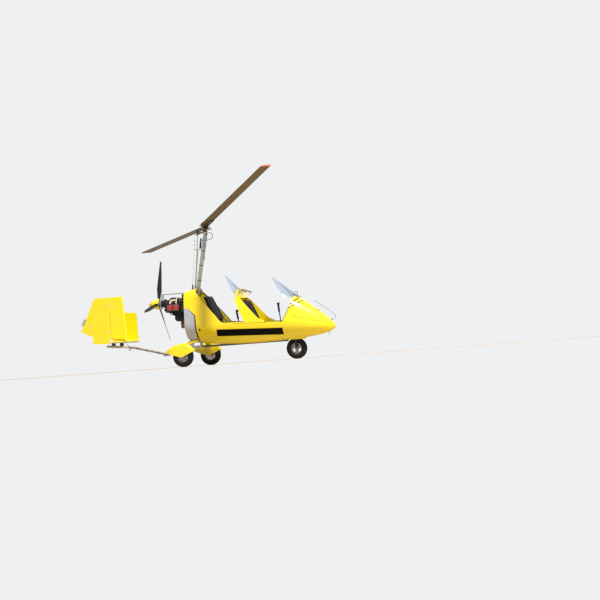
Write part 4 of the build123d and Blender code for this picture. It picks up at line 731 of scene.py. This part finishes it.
# Rubber edge round the cockpit opening
side_skin = surface_of("fuselage_tub", "seat_back_fairing", "nose_cowl")
edge_line = [(-0.088, 1.395), (0.05, 1.232), (0.18, 1.076), (0.3, 0.932), (0.416, 0.7985), (0.55, 0.786), (0.68, 0.779)]
front_edge = [(1.262, 0.7485), (1.36, 0.7425), (1.46, 0.737), (1.56, 0.731), (1.612, 0.729), (1.66, 0.818),
              (1.7, 0.895), (1.742, 0.974)]
trim = Batch()
for line in (edge_line, front_edge):
    for side in (1, -1):
        way = side_way(side_skin, [(x, z - 0.006) for x, z in line], side)
        trim.tube([spot + Vector((0, -side * 0.003, 0.005)) for spot in way], 0.0058, 8)
trim.make("cockpit_edge", "hose")

# Instrument panel: round dials facing the pilot and a row of switches
PANEL_X = 1.846
bezels, faces, marks, hands = Batch(), Batch(), Batch(), Batch()
# Columns: y, z, radius
DIALS = ((0.165, 1.065, 0.04), (0.075, 1.085, 0.04), (-0.02, 1.085, 0.046), (-0.12, 1.075, 0.04),
         (0.12, 0.985, 0.03), (0.045, 0.985, 0.03), (-0.04, 0.98, 0.03), (-0.115, 0.985, 0.03))
for y, z, r in DIALS:
    bezels.lathe([(r, 0.0), (r + 0.005, 0.0), (r + 0.005, 0.006), (r + 0.001, 0.008), (r, 0.006)],
                 (PANEL_X + 0.001, y, z), (-1, 0, 0), 40)
    faces.drum((PANEL_X - 0.0005, y, z), (-1, 0, 0), r, 0.003, 40)
    for k in range(11):
        a = math.radians(-140 + 28 * k)
        out = Vector((0, math.sin(a), math.cos(a)))
        middle = Vector((PANEL_X - 0.004, y, z)) + out * r * 0.84
        marks.drum(middle - out * 0.003, out, 0.0009, 0.006, 6)
    a = math.radians(-60 + 90 * ((y * 37) % 1))
    out = Vector((0, math.sin(a), math.cos(a)))
    hands.drum(Vector((PANEL_X - 0.0045, y, z)), out, 0.0013, r * 0.72, 6, 0.0004)
    hands.drum((PANEL_X - 0.0035, y, z), (-1, 0, 0), 0.004, 0.002, 16)
for k in range(6):
    y = -0.1 + 0.04 * k
    bezels.drum((PANEL_X, y, 0.932), (-1, 0, 0), 0.0065, 0.006, 16)
    hands.drum((PANEL_X - 0.006, y, 0.932), (-0.85, 0, 0.5), 0.0022, 0.013, 10, 0.003)
bezels.make("dial_bezels", "black_metal", "airframe", "black_shell")
faces.make("dial_faces", "dial")
marks.make("dial_marks", "mark")
hands.make("dial_hands", "white")

# Knobs at the windshields' feet: screws with rubber washers
knobs = Batch()
for name, places in (("front_windshield", ((1.775, 1.172, 0.026), (1.712, 1.09, 0.011), (1.812, 1.205, 0.018))),
                     ("rear_windshield", ((0.69, 1.31, 0.011), (0.672, 1.345, 0.011)))):
    shield_skin = surface_of(name)
    for x, z, radius in places:
        knobs.studs(shield_skin, [(x, z)], (-0.001, radius, 0.005, 24, radius * 0.9),
                    (0.003, radius * 0.72, 0.009, 20, radius * 0.6))
knobs.studs(yellow_skin, [(1.862, 1.163)], (-0.001, 0.024, 0.006, 24, 0.021), (0.004, 0.012, 0.01, 20, 0.01))
knobs.make("windshield_screws", "black")

# Antenna rod on the nose and its boot
rod, boot = Batch(), Batch()
rod.tube([(2.47, 0, 0.676), (2.566, 0, 0.76), (2.47, 0, 0.852), (2.33, 0, 0.957), (2.179, 0, 1.06)], 0.003, 8)
rod.drum((2.181, 0, 1.058), (-0.82, 0, 0.56), 0.007, 0.016, 14)
rod.make("nose_rod", "black_metal")
boot.drum((2.446, 0, 0.655), (0.75, 0, 0.65), 0.013, 0.062, 20, 0.008)
boot.make("nose_rod_boot", "hose")


def skin_below(x, y):
    """Point of the body's skin under a place, and the skin's direction there."""
    return yellow_skin.ray_cast(Vector((x, y, 2.0)), Vector((0, 0, -1)))[:2]


# Cold air scoop on the nose: pale ring and a dark lip before it
ring, lip = Batch(), Batch()
vent_hit, vent_up = skin_below(2.185, -0.045)
lip_hit, lip_up = skin_below(2.245, -0.045)
ring.drum(vent_hit - vent_up * 0.002, vent_up, 0.026, 0.012, 28, 0.022)
lip.drum(vent_hit + vent_up * 0.0095, vent_up, 0.017, 0.0012, 24)
lip.drum(lip_hit - lip_up * 0.002, lip_up, 0.02, 0.012, 24, 0.014)
ring.make("nose_scoop_ring", "white")
lip.make("nose_scoop_lip", "black")


# Engine: hoses, intake pipes, leads, tanks, mount tubes, bolts and clamps

UP = (0, 0, 1)
CYLINDERS_X = (-0.492, -0.612)
# Columns: radius, sides, points on the port side
HOSES = (
    (0.0115, 14, ((-0.38, 0.15, 1.292), (-0.4, 0.16, 1.255), (-0.445, 0.185, 1.228), (-0.47, 0.215, 1.196))),
    (0.0105, 14, ((-0.335, 0.12, 1.06), (-0.39, 0.15, 1.01), (-0.47, 0.2, 1.022), (-0.5, 0.235, 1.074))),
    (0.0095, 12, ((-0.4, 0.145, 1.18), (-0.46, 0.2, 1.04), (-0.56, 0.215, 1.018), (-0.625, 0.235, 1.074))),
    (0.0062, 10, ((-0.335, 0.2, 1.18), (-0.42, 0.235, 1.215), (-0.53, 0.262, 1.222), (-0.64, 0.262, 1.197))),
    (0.0085, 12, ((-0.69, 0.07, 1.08), (-0.65, 0.13, 1.022), (-0.56, 0.15, 0.995), (-0.48, 0.185, 1.0),
                  (-0.335, 0.175, 0.985))),
    (0.009, 12, ((-0.6, 0.06, 1.04), (-0.59, 0.09, 0.992), (-0.48, 0.13, 1.003), (-0.335, 0.09, 1.02))),
)
INTAKES = (
    (0.0175, 18, ((-0.506, 0.12, 1.262), (-0.548, 0.124, 1.278), (-0.602, 0.15, 1.272), (-0.628, 0.195, 1.235),
                  (-0.622, 0.222, 1.19))),
    (0.0165, 18, ((-0.5, 0.128, 1.25), (-0.515, 0.16, 1.262), (-0.51, 0.2, 1.238), (-0.5, 0.218, 1.19))),
)
hoses, intakes, leads, mounts_dark, bits, tanks = Batch(), Batch(), Batch(), Batch(), Batch(), Batch()
for side in (1, -1):
    for batch, rows in ((hoses, HOSES), (intakes, INTAKES)):
        for radius, sides, way in rows:
            batch.tube(sided(way, side), radius, sides)
    for at, x in enumerate(CYLINDERS_X):
        upper = ((-0.6 - 0.012 * at, 0.03, 1.318), (-0.59 - 0.02 * at, 0.11, 1.335), (x - 0.02, 0.2, 1.292),
                 (x - 0.012, 0.246, 1.205))
        lower = ((-0.64 - 0.012 * at, 0.03, 1.31), (-0.66, 0.12, 1.3), (x - 0.03, 0.235, 1.23),
                 (x + 0.018, 0.258, 1.198))
        leads.tube(sided(upper, side), 0.0036, 8)
        leads.tube(sided(lower, side), 0.0036, 8)
        bits.drum((x - 0.012, side * 0.246, 1.19), UP, 0.0075, 0.026, 12, 0.005)
        bits.drum((x + 0.018, side * 0.258, 1.185), UP, 0.0075, 0.024, 12, 0.005)
    for z, x_in, y_in, z_in in ((1.245, -0.64, 0.085, 1.185), (0.945, -0.6, 0.052, 1.052)):
        mounts_dark.tube([(-0.334, side * 0.165, z), (x_in, side * y_in, z_in)], 0.0105, 14)
        mounts_dark.drum((-0.3325, side * 0.165, z), (-1, 0, 0), 0.024, 0.006, 20)
# Columns: x, y, z, axis, radius, length, sides, end radius
for x, y, z, *rest in (
    (-0.388, -0.196, 1.045, UP, 0.043, 0.15, 30), (-0.388, -0.196, 1.195, UP, 0.022, 0.02, 20, 0.019),
    (-0.395, 0.2, 1.06, UP, 0.036, 0.12, 26), (-0.702, 0.098, 1.12, (-1, 0, 0), 0.034, 0.095, 26),
    (-0.702, -0.1, 1.11, (-1, 0, 0), 0.03, 0.07, 26), (-0.797, 0.098, 1.12, (-1, 0, 0), 0.022, 0.02, 20, 0.018),
):
    tanks.drum((x, y, z), *rest)
for z in (1.08, 1.16):
    tanks.band(0.043, 0.0025, 0.012, (-0.388, -0.196, z), UP, 30)
for low, high, bevel in (((-0.668, -0.042, 1.2865), (-0.585, 0.042, 1.326), 0.006),
                         ((-0.43, -0.06, 1.215), (-0.35, 0.06, 1.262), 0.006),
                         ((-0.56, -0.176, 1.0), (-0.42, -0.12, 1.052), 0.008),
                         ((-0.56, 0.12, 1.0), (-0.42, 0.176, 1.052), 0.008)):
    tanks.block(low, high, bevel=bevel)
for side in (1, -1):
    # air filters in front of the carburettors, with their ribs
    for k in range(7):
        tanks.drum((-0.433 + 0.008 * k, side * 0.12, 1.262), (1, 0, 0), 0.04 - 0.0009 * k, 0.0052, 28)
    bits.band(0.0385, 0.002, 0.008, (-0.444, side * 0.12, 1.262), (1, 0, 0), 30)
    bits.band(0.0118, 0.0014, 0.008, (-0.4, side * 0.16, 1.251), (-0.7, side * 0.4, -0.4), 18)
    bits.band(0.0176, 0.0016, 0.009, (-0.512, side * 0.1202, 1.264), (-1, 0, 0.35), 22)
    bits.band(0.0176, 0.0016, 0.009, (-0.622, side * 0.221, 1.196), (0, 0.05, 1), 22)
    for x in CYLINDERS_X:
        for z in (1.108, 1.162):
            bits.bolt((x, side * 0.2972, z), (0, side, 0), 0.0048, 0.006)
        for dx, dz in ((0.047, 0.0539), (-0.047, 0.0539), (0.047, -0.0539), (-0.047, -0.0539)):
            bits.bolt((x + dx, side * 0.2715, 1.135 + dz), (0, side, 0), 0.0042, 0.007)
GEARBOX_BOLTS, GEARBOX_BOLT_R = 10, 0.076
for k in range(GEARBOX_BOLTS):
    a = 2 * math.pi * k / GEARBOX_BOLTS
    place = (-0.7855, GEARBOX_BOLT_R * math.sin(a), 1.228 + GEARBOX_BOLT_R * math.cos(a))
    bits.bolt(place, (-1, 0, 0), 0.0042, 0.006)
hoses.make("engine_hoses", "hose")
intakes.make("intake_pipes", "sand", "airframe", "steel_light")
leads.make("ignition_leads", "hose")
mounts_dark.make("engine_mount_tubes", "black_metal")
tanks.make("engine_tanks", "dark_alloy")
bits.make("engine_bolts", "machined")

# Silencer straps and the tailpipe's rolled lip
STRAP = ((-0.56, 0.93), (-0.556, 0.965), (-0.535, 0.988), (-0.505, 0.9965), (-0.405, 0.9965), (-0.375, 0.988),
         (-0.354, 0.965), (-0.35, 0.93), (-0.354, 0.905), (-0.375, 0.882), (-0.405, 0.8735), (-0.505, 0.8735),
         (-0.535, 0.882), (-0.556, 0.905))
straps = Batch()
for y in (-0.11, 0.11):
    straps.tube([(x, y, z) for x, z in STRAP], 0.0042, 8, closed=True)
straps.band(0.03, 0.003, 0.008, (-0.41, -0.184, 0.765), (0, -1, 0), 32)
straps.make("silencer_straps", "machined")

# Radiator fins
FINS, RADIATOR_W, FIN_HALF = 46, 0.264, 0.0006
fins = Batch()
for k in range(FINS):
    y = RADIATOR_W * (k / (FINS - 1) - 0.5)
    fins.block((-0.3925, y - FIN_HALF, 1.3), (-0.3895, y + FIN_HALF, 1.374))
fins.make("radiator_fins", "sheet")

# Mast: bolts, cables, stay, dampers and boots
HEAD = Vector((0.114, 0, 0))
MAST_LEAN = 238.0 / 1115.0
ROD_FOOT, ROD_EYE, ROD_Y = (-0.206, 1.38), (-0.066, 2.488), 0.08


def mast_x(z):
    """Middle of the leaning mast at a height."""
    return -0.317 + (z - 0.478) * MAST_LEAN


def by_mast(z, ahead, y=0.0):
    """Point at a height, so far ahead of the mast's middle."""
    return (mast_x(z) + ahead, y, z)


mast_bits, mast_black, stay = Batch(), Batch(), Batch()
for side in (1, -1):
    for z in (2.255, 2.32, 2.372, 2.43):
        mast_bits.bolt(by_mast(z, 0.0, side * 0.0332), (0, side, 0), 0.007, 0.008)
mast_black.tube([(0.126, -0.036, 2.482), (0.18, -0.038, 2.505), (0.236, -0.038, 2.496), (0.266, -0.038, 2.455),
                 (0.256, -0.038, 2.408), (0.21, -0.038, 2.378), (0.112, -0.036, 2.366)], 0.0055, 8)
mast_black.tube([by_mast(z, 0.0385, -0.01) for z in (2.3, 2.2, 2.1, 2.03)], 0.005, 10)
mast_black.drum(by_mast(2.06, 0.041, -0.01), (-0.21, 0, -0.98), 0.0105, 0.06, 16, 0.0085)
SPRING_WAY = (0.16, 0, 0.987)
mast_black.drum(by_mast(2.225, -0.068), SPRING_WAY, 0.0165, 0.12, 24)
mast_black.drum((mast_x(2.345) - 0.0745, 0, 2.343), SPRING_WAY, 0.0125, 0.052, 20)
mast_black.drum((mast_x(2.395) - 0.077, 0, 2.393), SPRING_WAY, 0.017, 0.02, 20)
mast_black.block((mast_x(2.25) - 0.072, -0.012, 2.24), (mast_x(2.25) - 0.03, 0.012, 2.262), bevel=0.003)
mast_black.block((mast_x(2.375) - 0.08, -0.012, 2.366), (mast_x(2.375) - 0.03, 0.012, 2.386), bevel=0.003)
for z in (1.62, 1.9, 2.17):
    mast_black.block((mast_x(z) - 0.0375, -0.0275, z - 0.006), (mast_x(z) + 0.0375, 0.0275, z + 0.006), bevel=0.0015)
stay.tube([by_mast(1.47, -0.052), by_mast(1.85, -0.085), by_mast(2.195, -0.105)], 0.0085, 14)
stay.make("mast_stay", "steel")
rod_way = Vector((ROD_EYE[0] - ROD_FOOT[0], 0, ROD_EYE[1] - ROD_FOOT[1])).normalized()
for side in (1, -1):
    foot = Vector((ROD_FOOT[0], side * ROD_Y, ROD_FOOT[1]))
    mast_black.drum(foot + rod_way * 0.05, rod_way, 0.0165, 0.12, 22, 0.0095)
    for k in range(5):
        mast_black.drum(foot + rod_way * (0.056 + 0.022 * k), rod_way, 0.0195 - 0.0016 * k, 0.008, 22)
    mast_bits.drum(foot + rod_way * 0.915, rod_way, 0.0095, 0.03, 6)
    mast_bits.drum(foot + rod_way * 0.985, rod_way, 0.0105, 0.022, 6)
mast_black.make("mast_cables_and_boots", "hose")
mast_bits.make("mast_bolts", "machined")

# Rotor head: bolts and the drive that spins the rotor up
head_bits, head_dark = Batch(), Batch()
for side in (1, -1):
    head_bits.bolt((-0.066, side * 0.0725, 2.488), (0, side, 0), 0.0105, 0.011)
for dx, dy in ((0.036, 0.03), (-0.036, 0.03), (0.036, -0.03), (-0.036, -0.03)):
    head_bits.bolt((0.11 + dx, dy, 2.53), UP, 0.0052, 0.007)
head_dark.drum((-0.036, 0, 2.52), UP, 0.021, 0.036, 24)
head_dark.drum((-0.036, 0, 2.556), UP, 0.0135, 0.024, 14)
head_dark.block((-0.062, -0.02, 2.51), (0.04, 0.02, 2.527), bevel=0.003)
head_bits.make("head_bar_bolts", "machined", "rotor_head")
head_dark.make("spin_up_drive", "black_metal", "rotor_head")

# Teeter tower and rotor, drawn as they rest: turned, tilted to the stop and coned
BLADE_AZIMUTH, TILT, CONE = math.radians(-54.8), math.radians(8.35), math.radians(4.15)
UNDERSLING, RING_BOLT_R = 0.065, 0.112
blade_dir = Vector((math.cos(BLADE_AZIMUTH), math.sin(BLADE_AZIMUTH), 0))
chord_dir = Vector((-math.sin(BLADE_AZIMUTH), math.cos(BLADE_AZIMUTH), 0))
hub_axis = blade_dir * math.cos(TILT) + Vector(UP) * math.sin(TILT)
hub_up = Vector(UP) * math.cos(TILT) - blade_dir * math.sin(TILT)
teeter_point = HEAD + Vector((0, 0, 2.685))
hub_centre = teeter_point - hub_up * UNDERSLING
tower_bits, tower_light = Batch(), Batch()
for side in (1, -1):
    ear_out = teeter_point + chord_dir * (side * 0.0583)
    tower_bits.drum(ear_out, chord_dir * side, 0.0165, 0.0105, 6)
    tower_bits.drum(ear_out, chord_dir * side, 0.019, 0.0025, 24)
    for across in (-0.022, 0.022):
        spot = HEAD + chord_dir * (side * 0.0582) + blade_dir * across + Vector((0, 0, 2.606))
        tower_bits.bolt(spot, chord_dir * side, 0.0055, 0.006)
for k in range(6):
    a = math.radians(60 * k + 30)
    place = HEAD + Vector((RING_BOLT_R * math.cos(a), RING_BOLT_R * math.sin(a), 2.5822))
    tower_bits.bolt(place, UP, 0.0045, 0.006)
tower_bits.make("tower_bolts", "machined", "rotor_mast")
# light curved straps over the tower's ears
for side in (1, -1):
    rows = []
    for k in range(13):
        t = k / 12
        reach = 0.034 - 0.01 * t + 0.012 * math.sin(math.pi * t)
        height = 2.586 + 0.112 * t
        middle = HEAD + chord_dir * (side * 0.06) + Vector((0, 0, height))
        rows.append([middle - blade_dir * (reach + 0.014), middle - blade_dir * (reach - 0.012)])
    rings = [[tower_light.bm.verts.new(row[end] + chord_dir * (side * thick))
              for end, thick in ((0, 0.0), (0, 0.003), (1, 0.003), (1, 0.0))] for row in rows]
    loft(tower_light.bm, rings)
tower_light.make("tower_straps", "white", "rotor_mast")

rotor_bits, tip_caps = Batch(), Batch()
ROOT_REACH, ROOT_DROP = 0.11, 0.0022
SECTION = ((-0.15, 0.004), (-0.08, 0.0155), (-0.01, 0.022), (0.02, 0.0195), (0.04, 0.015), (0.05, 0.007), (0.04, 0.001),
           (-0.15, 0.001))
# Columns: reach from the blade's root, share of the blade's chord, share of its thickness
TIP_ROWS = ((4.055, 1.012, 1.1), (4.0895, 1.012, 1.1), (4.0935, 0.9, 0.9))
for side in (1, -1):
    out = hub_axis * (side * math.cos(CONE)) + hub_up * math.sin(CONE)
    normal = hub_up * math.cos(CONE) - hub_axis * (side * math.sin(CONE))
    lead = normal.cross(out)
    root = hub_centre + out * ROOT_REACH - normal * ROOT_DROP
    low = hub_centre - normal * 0.0125
    for reach in (0.1, 0.15, 0.2, 0.26, 0.32, 0.38, 0.44):
        # Columns: across the hub bar, across the blade, height on the blade
        for across, blade_across, rise in ((-0.024, -0.03, 0.0205), (0.024, 0.024, 0.0195)):
            rotor_bits.bolt(low + out * reach + lead * across, -normal, 0.0058, 0.007)
            if reach > 0.13:
                spot = root + out * (reach - ROOT_REACH) + lead * blade_across + normal * rise
                rotor_bits.bolt(spot, normal, 0.0058, 0.006)
    rings = []
    for reach, wide, thick in TIP_ROWS:
        rings.append([tip_caps.bm.verts.new(root + out * reach + lead * ((x + 0.05) * wide - 0.05)
                                            + normal * ((z - 0.009) * thick + 0.009)) for x, z in SECTION])
    loft(tip_caps.bm, rings)
rotor_bits.make("rotor_bolts", "machined", "rotor")
tip_caps.make("blade_tip_caps", "tip", "rotor")

# Landing gear: clamps on the bow, brake lines, axle nuts, fender screws
gear_dark, gear_bits, lines = Batch(), Batch(), Batch()
LINE_WAY = ((-0.15, 0.046, 0.516), (-0.168, 0.12, 0.509), (-0.176, 0.3, 0.4925), (-0.182, 0.5, 0.4735),
            (-0.186, 0.64, 0.46))
BOW_Y, LEG_Y = 0.05, 0.7995
for side in (1, -1):
    gear_dark.block((-0.252, side * BOW_Y - 0.01, 0.5083), (-0.112, side * BOW_Y + 0.01, 0.515), bevel=0.002)
    for x in (-0.24, -0.124):
        gear_bits.bolt((x, side * BOW_Y, 0.515), UP, 0.006, 0.008)
    lines.tube(sided(LINE_WAY, side), 0.0033, 8)
    for y in (0.16, 0.3, 0.44, 0.58):
        fall = (y - 0.06) * 0.095
        lines.block((-0.19, side * y - 0.004, 0.5085 - fall), (-0.16, side * y + 0.004, 0.5135 - fall), bevel=0.001)
    gear_bits.drum((MAIN_X, side * 0.8893, WHEEL_R), (0, side, 0), 0.0165, 0.01, 6)
    gear_bits.drum((MAIN_X, side * 0.899, WHEEL_R), (0, side, 0), 0.0075, 0.006, 14)
    for x, y, z in ((-0.15, 0.9115, 0.262), (-0.225, 0.9115, 0.238), (-0.3, 0.9113, 0.25)):
        gear_bits.drum((x, side * y, z), (0, side, 0), 0.0058, 0.0026, 14, 0.0046)
    gear_dark.block((MAIN_X - 0.026, side * LEG_Y - 0.016, 0.252), (MAIN_X + 0.04, side * LEG_Y + 0.01, 0.3),
                    bevel=0.006)
gear_dark.make("bow_clamps", "black_metal")
gear_bits.make("gear_bolts", "machined")
lines.make("brake_lines", "hose")

# Nose leg: clamp bolts
nose_bits = Batch()
for side in (1, -1):
    nose_bits.bolt((1.778, side * 0.05, 0.4385), UP, 0.0065, 0.008)
    nose_bits.bolt((1.795, side * 0.0683, 0.41), (0, side, 0), 0.005, 0.006)
    nose_bits.bolt((1.768, side * 0.0683, 0.41), (0, side, 0), 0.005, 0.006)
nose_bits.make("nose_leg_bolts", "machined", "nose_gear")

# Tail: bolts, screws on the end fins, rudder cable with its clips, rudder horn, panel lines, tab brackets
tail_bits, tail_black = Batch(), Batch()
for side in (1, -1):
    for x in (-1.735, -1.695, -1.9, -1.86):
        tail_bits.bolt((x, side * 0.03, 0.53), (0, side, 0), 0.0055, 0.007)
    for x in (-1.7, -1.78, -1.87, -1.95):
        tail_bits.drum((x, side * 0.873, 0.568), (0, side, 0), 0.0056, 0.0026, 14, 0.0045)
    for x, y, z in ((-0.82, 0.0181, 0.243), (-0.78, 0.0252, 0.26), (-0.86, 0.0252, 0.26)):
        tail_bits.bolt((x, side * y, z), (0, side, 0), 0.0042, 0.004)
tail_black.tube([(-0.372, -0.033, 0.44), (-0.48, -0.031, 0.385), (-0.66, -0.031, 0.312), (-0.8, -0.031, 0.268),
                 (-0.86, -0.031, 0.274), (-1.1, -0.031, 0.338), (-1.44, -0.031, 0.43), (-1.56, -0.033, 0.462),
                 (-1.61, -0.036, 0.54), (-1.665, -0.038, 0.603), (-1.76, -0.04, 0.612), (-1.88, -0.038, 0.64)],
                0.004, 10)
for x, z in ((-0.55, 0.352), (-0.98, 0.306), (-1.22, 0.371), (-1.4, 0.4195)):
    tail_black.block((x - 0.006, -0.0365, z - 0.022), (x + 0.006, -0.0252, z + 0.012), bevel=0.001)
tail_black.make("rudder_cable", "hose")
tail_bits.make("tail_bolts", "machined")
horn = Batch()
horn.block((-1.975, -0.05, 0.64), (-1.93, -0.019, 0.6435), bevel=0.001)
horn.bolt((-1.936, -0.044, 0.6435), UP, 0.0045, 0.006)
horn.make("rudder_horn", "machined", "rudder")

LINE_HALF = 0.0016
# Columns: name, CAD node, front, rear, height, steps, body
for name, node, front, rear, z, steps, body in (
    ("rudder_line_high", "rudder", -1.985, -2.29, 1.222, 12, "rudder"),
    ("rudder_line_low", "rudder", -1.985, -2.44, 0.89, 12, "rudder"),
    ("fin_line", "centre_fin", -1.66, -1.905, 1.222, 1, "airframe"),
):
    edges = [between((front, z + half), (rear, z + half), steps) for half in (LINE_HALF, -LINE_HALF)]
    strip(name, surface_of(node), edges, "boom", body, 0.0007)
tab_bits = Batch()
for z in (0.94, 0.98, 1.02):
    x = -2.208 - (1.43 - z) * 0.5
    tab_bits.block((x - 0.012, -0.0042, z - 0.008), (x + 0.026, 0.0042, z + 0.008), bevel=0.001)
tab_bits.make("tab_brackets", "machined", "rudder")

# Post with a wind tuft before the front windshield, and a drain stub under the belly

def shifted(point, *steps):
    """Points a step each from one point."""
    return [point + Vector(step) for step in steps]


top_hit, _ = skin_below(1.848, 0)
belly_hit = yellow_skin.ray_cast(Vector((2.42, 0, 0.2)), Vector(UP))[0]
post, tuft, stub = Batch(), Batch(), Batch()
post.tube(shifted(top_hit, (0, 0, -0.004), (0.004, 0, 0.06), (0.004, 0, 0.105)), 0.0048, 10)
post.drum(top_hit - Vector((0, 0, 0.001)), UP, 0.01, 0.005, 20, 0.008)
post.make("tuft_post", "steel")
tuft.tube(shifted(top_hit, (0.002, 0, 0.084), (-0.016, 0.001, 0.086), (-0.036, 0.003, 0.083), (-0.06, 0.002, 0.087)),
          0.0065, 8)
tuft.make("wind_tuft", "red")
stub.tube(shifted(belly_hit, (0, 0, 0.004), (-0.006, 0, -0.03), (-0.016, 0, -0.062)), 0.0035, 10)
stub.drum(belly_hit + Vector((0, 0, 0.001)), (0, 0, -1), 0.012, 0.004, 20, 0.01)
stub.make("belly_stub", "black_metal")


# Stage: floor, light and camera

def stage_material(name, color):
    """Matt surface of one colour."""
    mat, _, _ = shader_tree(name, {"Base Color": (*color, 1), "Roughness": 0.9})
    return mat


FLOOR_R = 12.0
floor_mesh = bpy.data.meshes.new("floor")
floor_ring = [(FLOOR_R * math.cos(k * math.pi / 48), FLOOR_R * math.sin(k * math.pi / 48), 0.0) for k in range(96)]
floor_mesh.from_pydata(floor_ring, [], [tuple(range(96))])
floor = bpy.data.objects.new("floor", floor_mesh)
bpy.context.collection.objects.link(floor)
floor_mesh.materials.append(stage_material("floor", (0.52, 0.43, 0.34)))
floor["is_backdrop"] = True

world = bpy.data.worlds.new("studio")
bpy.context.scene.world = world
world.use_nodes = True
world_tree = world.node_tree
background = world_tree.nodes["Background"]
fill(world_tree, background, {"Color": (0.86, 0.89, 0.95, 1), "Strength": 0.32})
shown = new_node(world_tree, "ShaderNodeBackground", {"Color": (0.86, 0.87, 0.88, 1), "Strength": 1.0})
path = new_node(world_tree, "ShaderNodeLightPath")
seen_by = path.outputs["Is Camera Ray"]
for ray in ("Is Glossy Ray", "Is Transmission Ray"):
    either = new_node(world_tree, "ShaderNodeMath", {0: seen_by, 1: path.outputs[ray]}, operation="MAXIMUM")
    seen_by = either.outputs["Value"]
mix = new_node(world_tree, "ShaderNodeMixShader", {0: seen_by, 1: background.outputs[0], 2: shown.outputs[0]})
fill(world_tree, world_tree.nodes["World Output"], {"Surface": mix.outputs[0]})


def lamp(name, place, aim, size, watts):
    """Round soft lamp turned towards a point."""
    data = bpy.data.lights.new(name, "AREA")
    data.shape = "DISK"
    data.size = size
    data.energy = watts
    light = bpy.data.objects.new(name, data)
    light.location = place
    light.rotation_euler = (Vector(aim) - Vector(place)).to_track_quat("-Z", "Y").to_euler()
    bpy.context.collection.objects.link(light)


LAMP_AIM = (0, 0, 1.2)
lamp("key", (12.0, -13.6, 25.5), LAMP_AIM, 2.3, 13600)
lamp("side", (6.0, -13.0, 8.0), LAMP_AIM, 6.0, 200)
lamp("back", (-4.0, 12.0, 9.0), LAMP_AIM, 7.0, 300)

AZIMUTH = math.radians(18.0)
ROLL = math.radians(4.2)
DISTANCE = 85.0
EYE_Z = 0.06
LENS = 268.5
SENSOR = 36.0
IMAGE = 600
ANCHOR = Vector((-0.225, 0.0, 0.2))     # between the main wheels
ANCHOR_PIXEL = (197.25, 355.55)
pixel_focal = LENS / SENSOR * IMAGE
off_x = ANCHOR_PIXEL[0] - IMAGE / 2
off_y = IMAGE / 2 - ANCHOR_PIXEL[1]
level_x = off_x * math.cos(ROLL) + off_y * math.sin(ROLL)
level_y = off_y * math.cos(ROLL) - off_x * math.sin(ROLL)
eye = ANCHOR - Vector((-math.sin(AZIMUTH), math.cos(AZIMUTH), 0)) * DISTANCE
eye.z = EYE_Z
yaw = AZIMUTH + math.atan(level_x / pixel_focal)
pitch = math.atan((ANCHOR.z - EYE_Z) / DISTANCE) - math.atan(level_y / pixel_focal)
camera_data = bpy.data.cameras.new("camera")
camera_data.lens = LENS
camera_data.sensor_width = SENSOR
camera_data.clip_start = 1.0
camera_data.clip_end = 900.0
camera = bpy.data.objects.new("camera", camera_data)
camera.location = eye
turn = Matrix.Rotation(yaw, 3, "Z") @ Matrix.Rotation(math.pi / 2 + pitch, 3, "X") @ Matrix.Rotation(-ROLL, 3, "Z")
camera.rotation_mode = "QUATERNION"
camera.rotation_quaternion = turn.to_quaternion()
bpy.context.collection.objects.link(camera)
bpy.context.scene.camera = camera
bpy.context.scene.view_settings.view_transform = "Standard"

low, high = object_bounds()
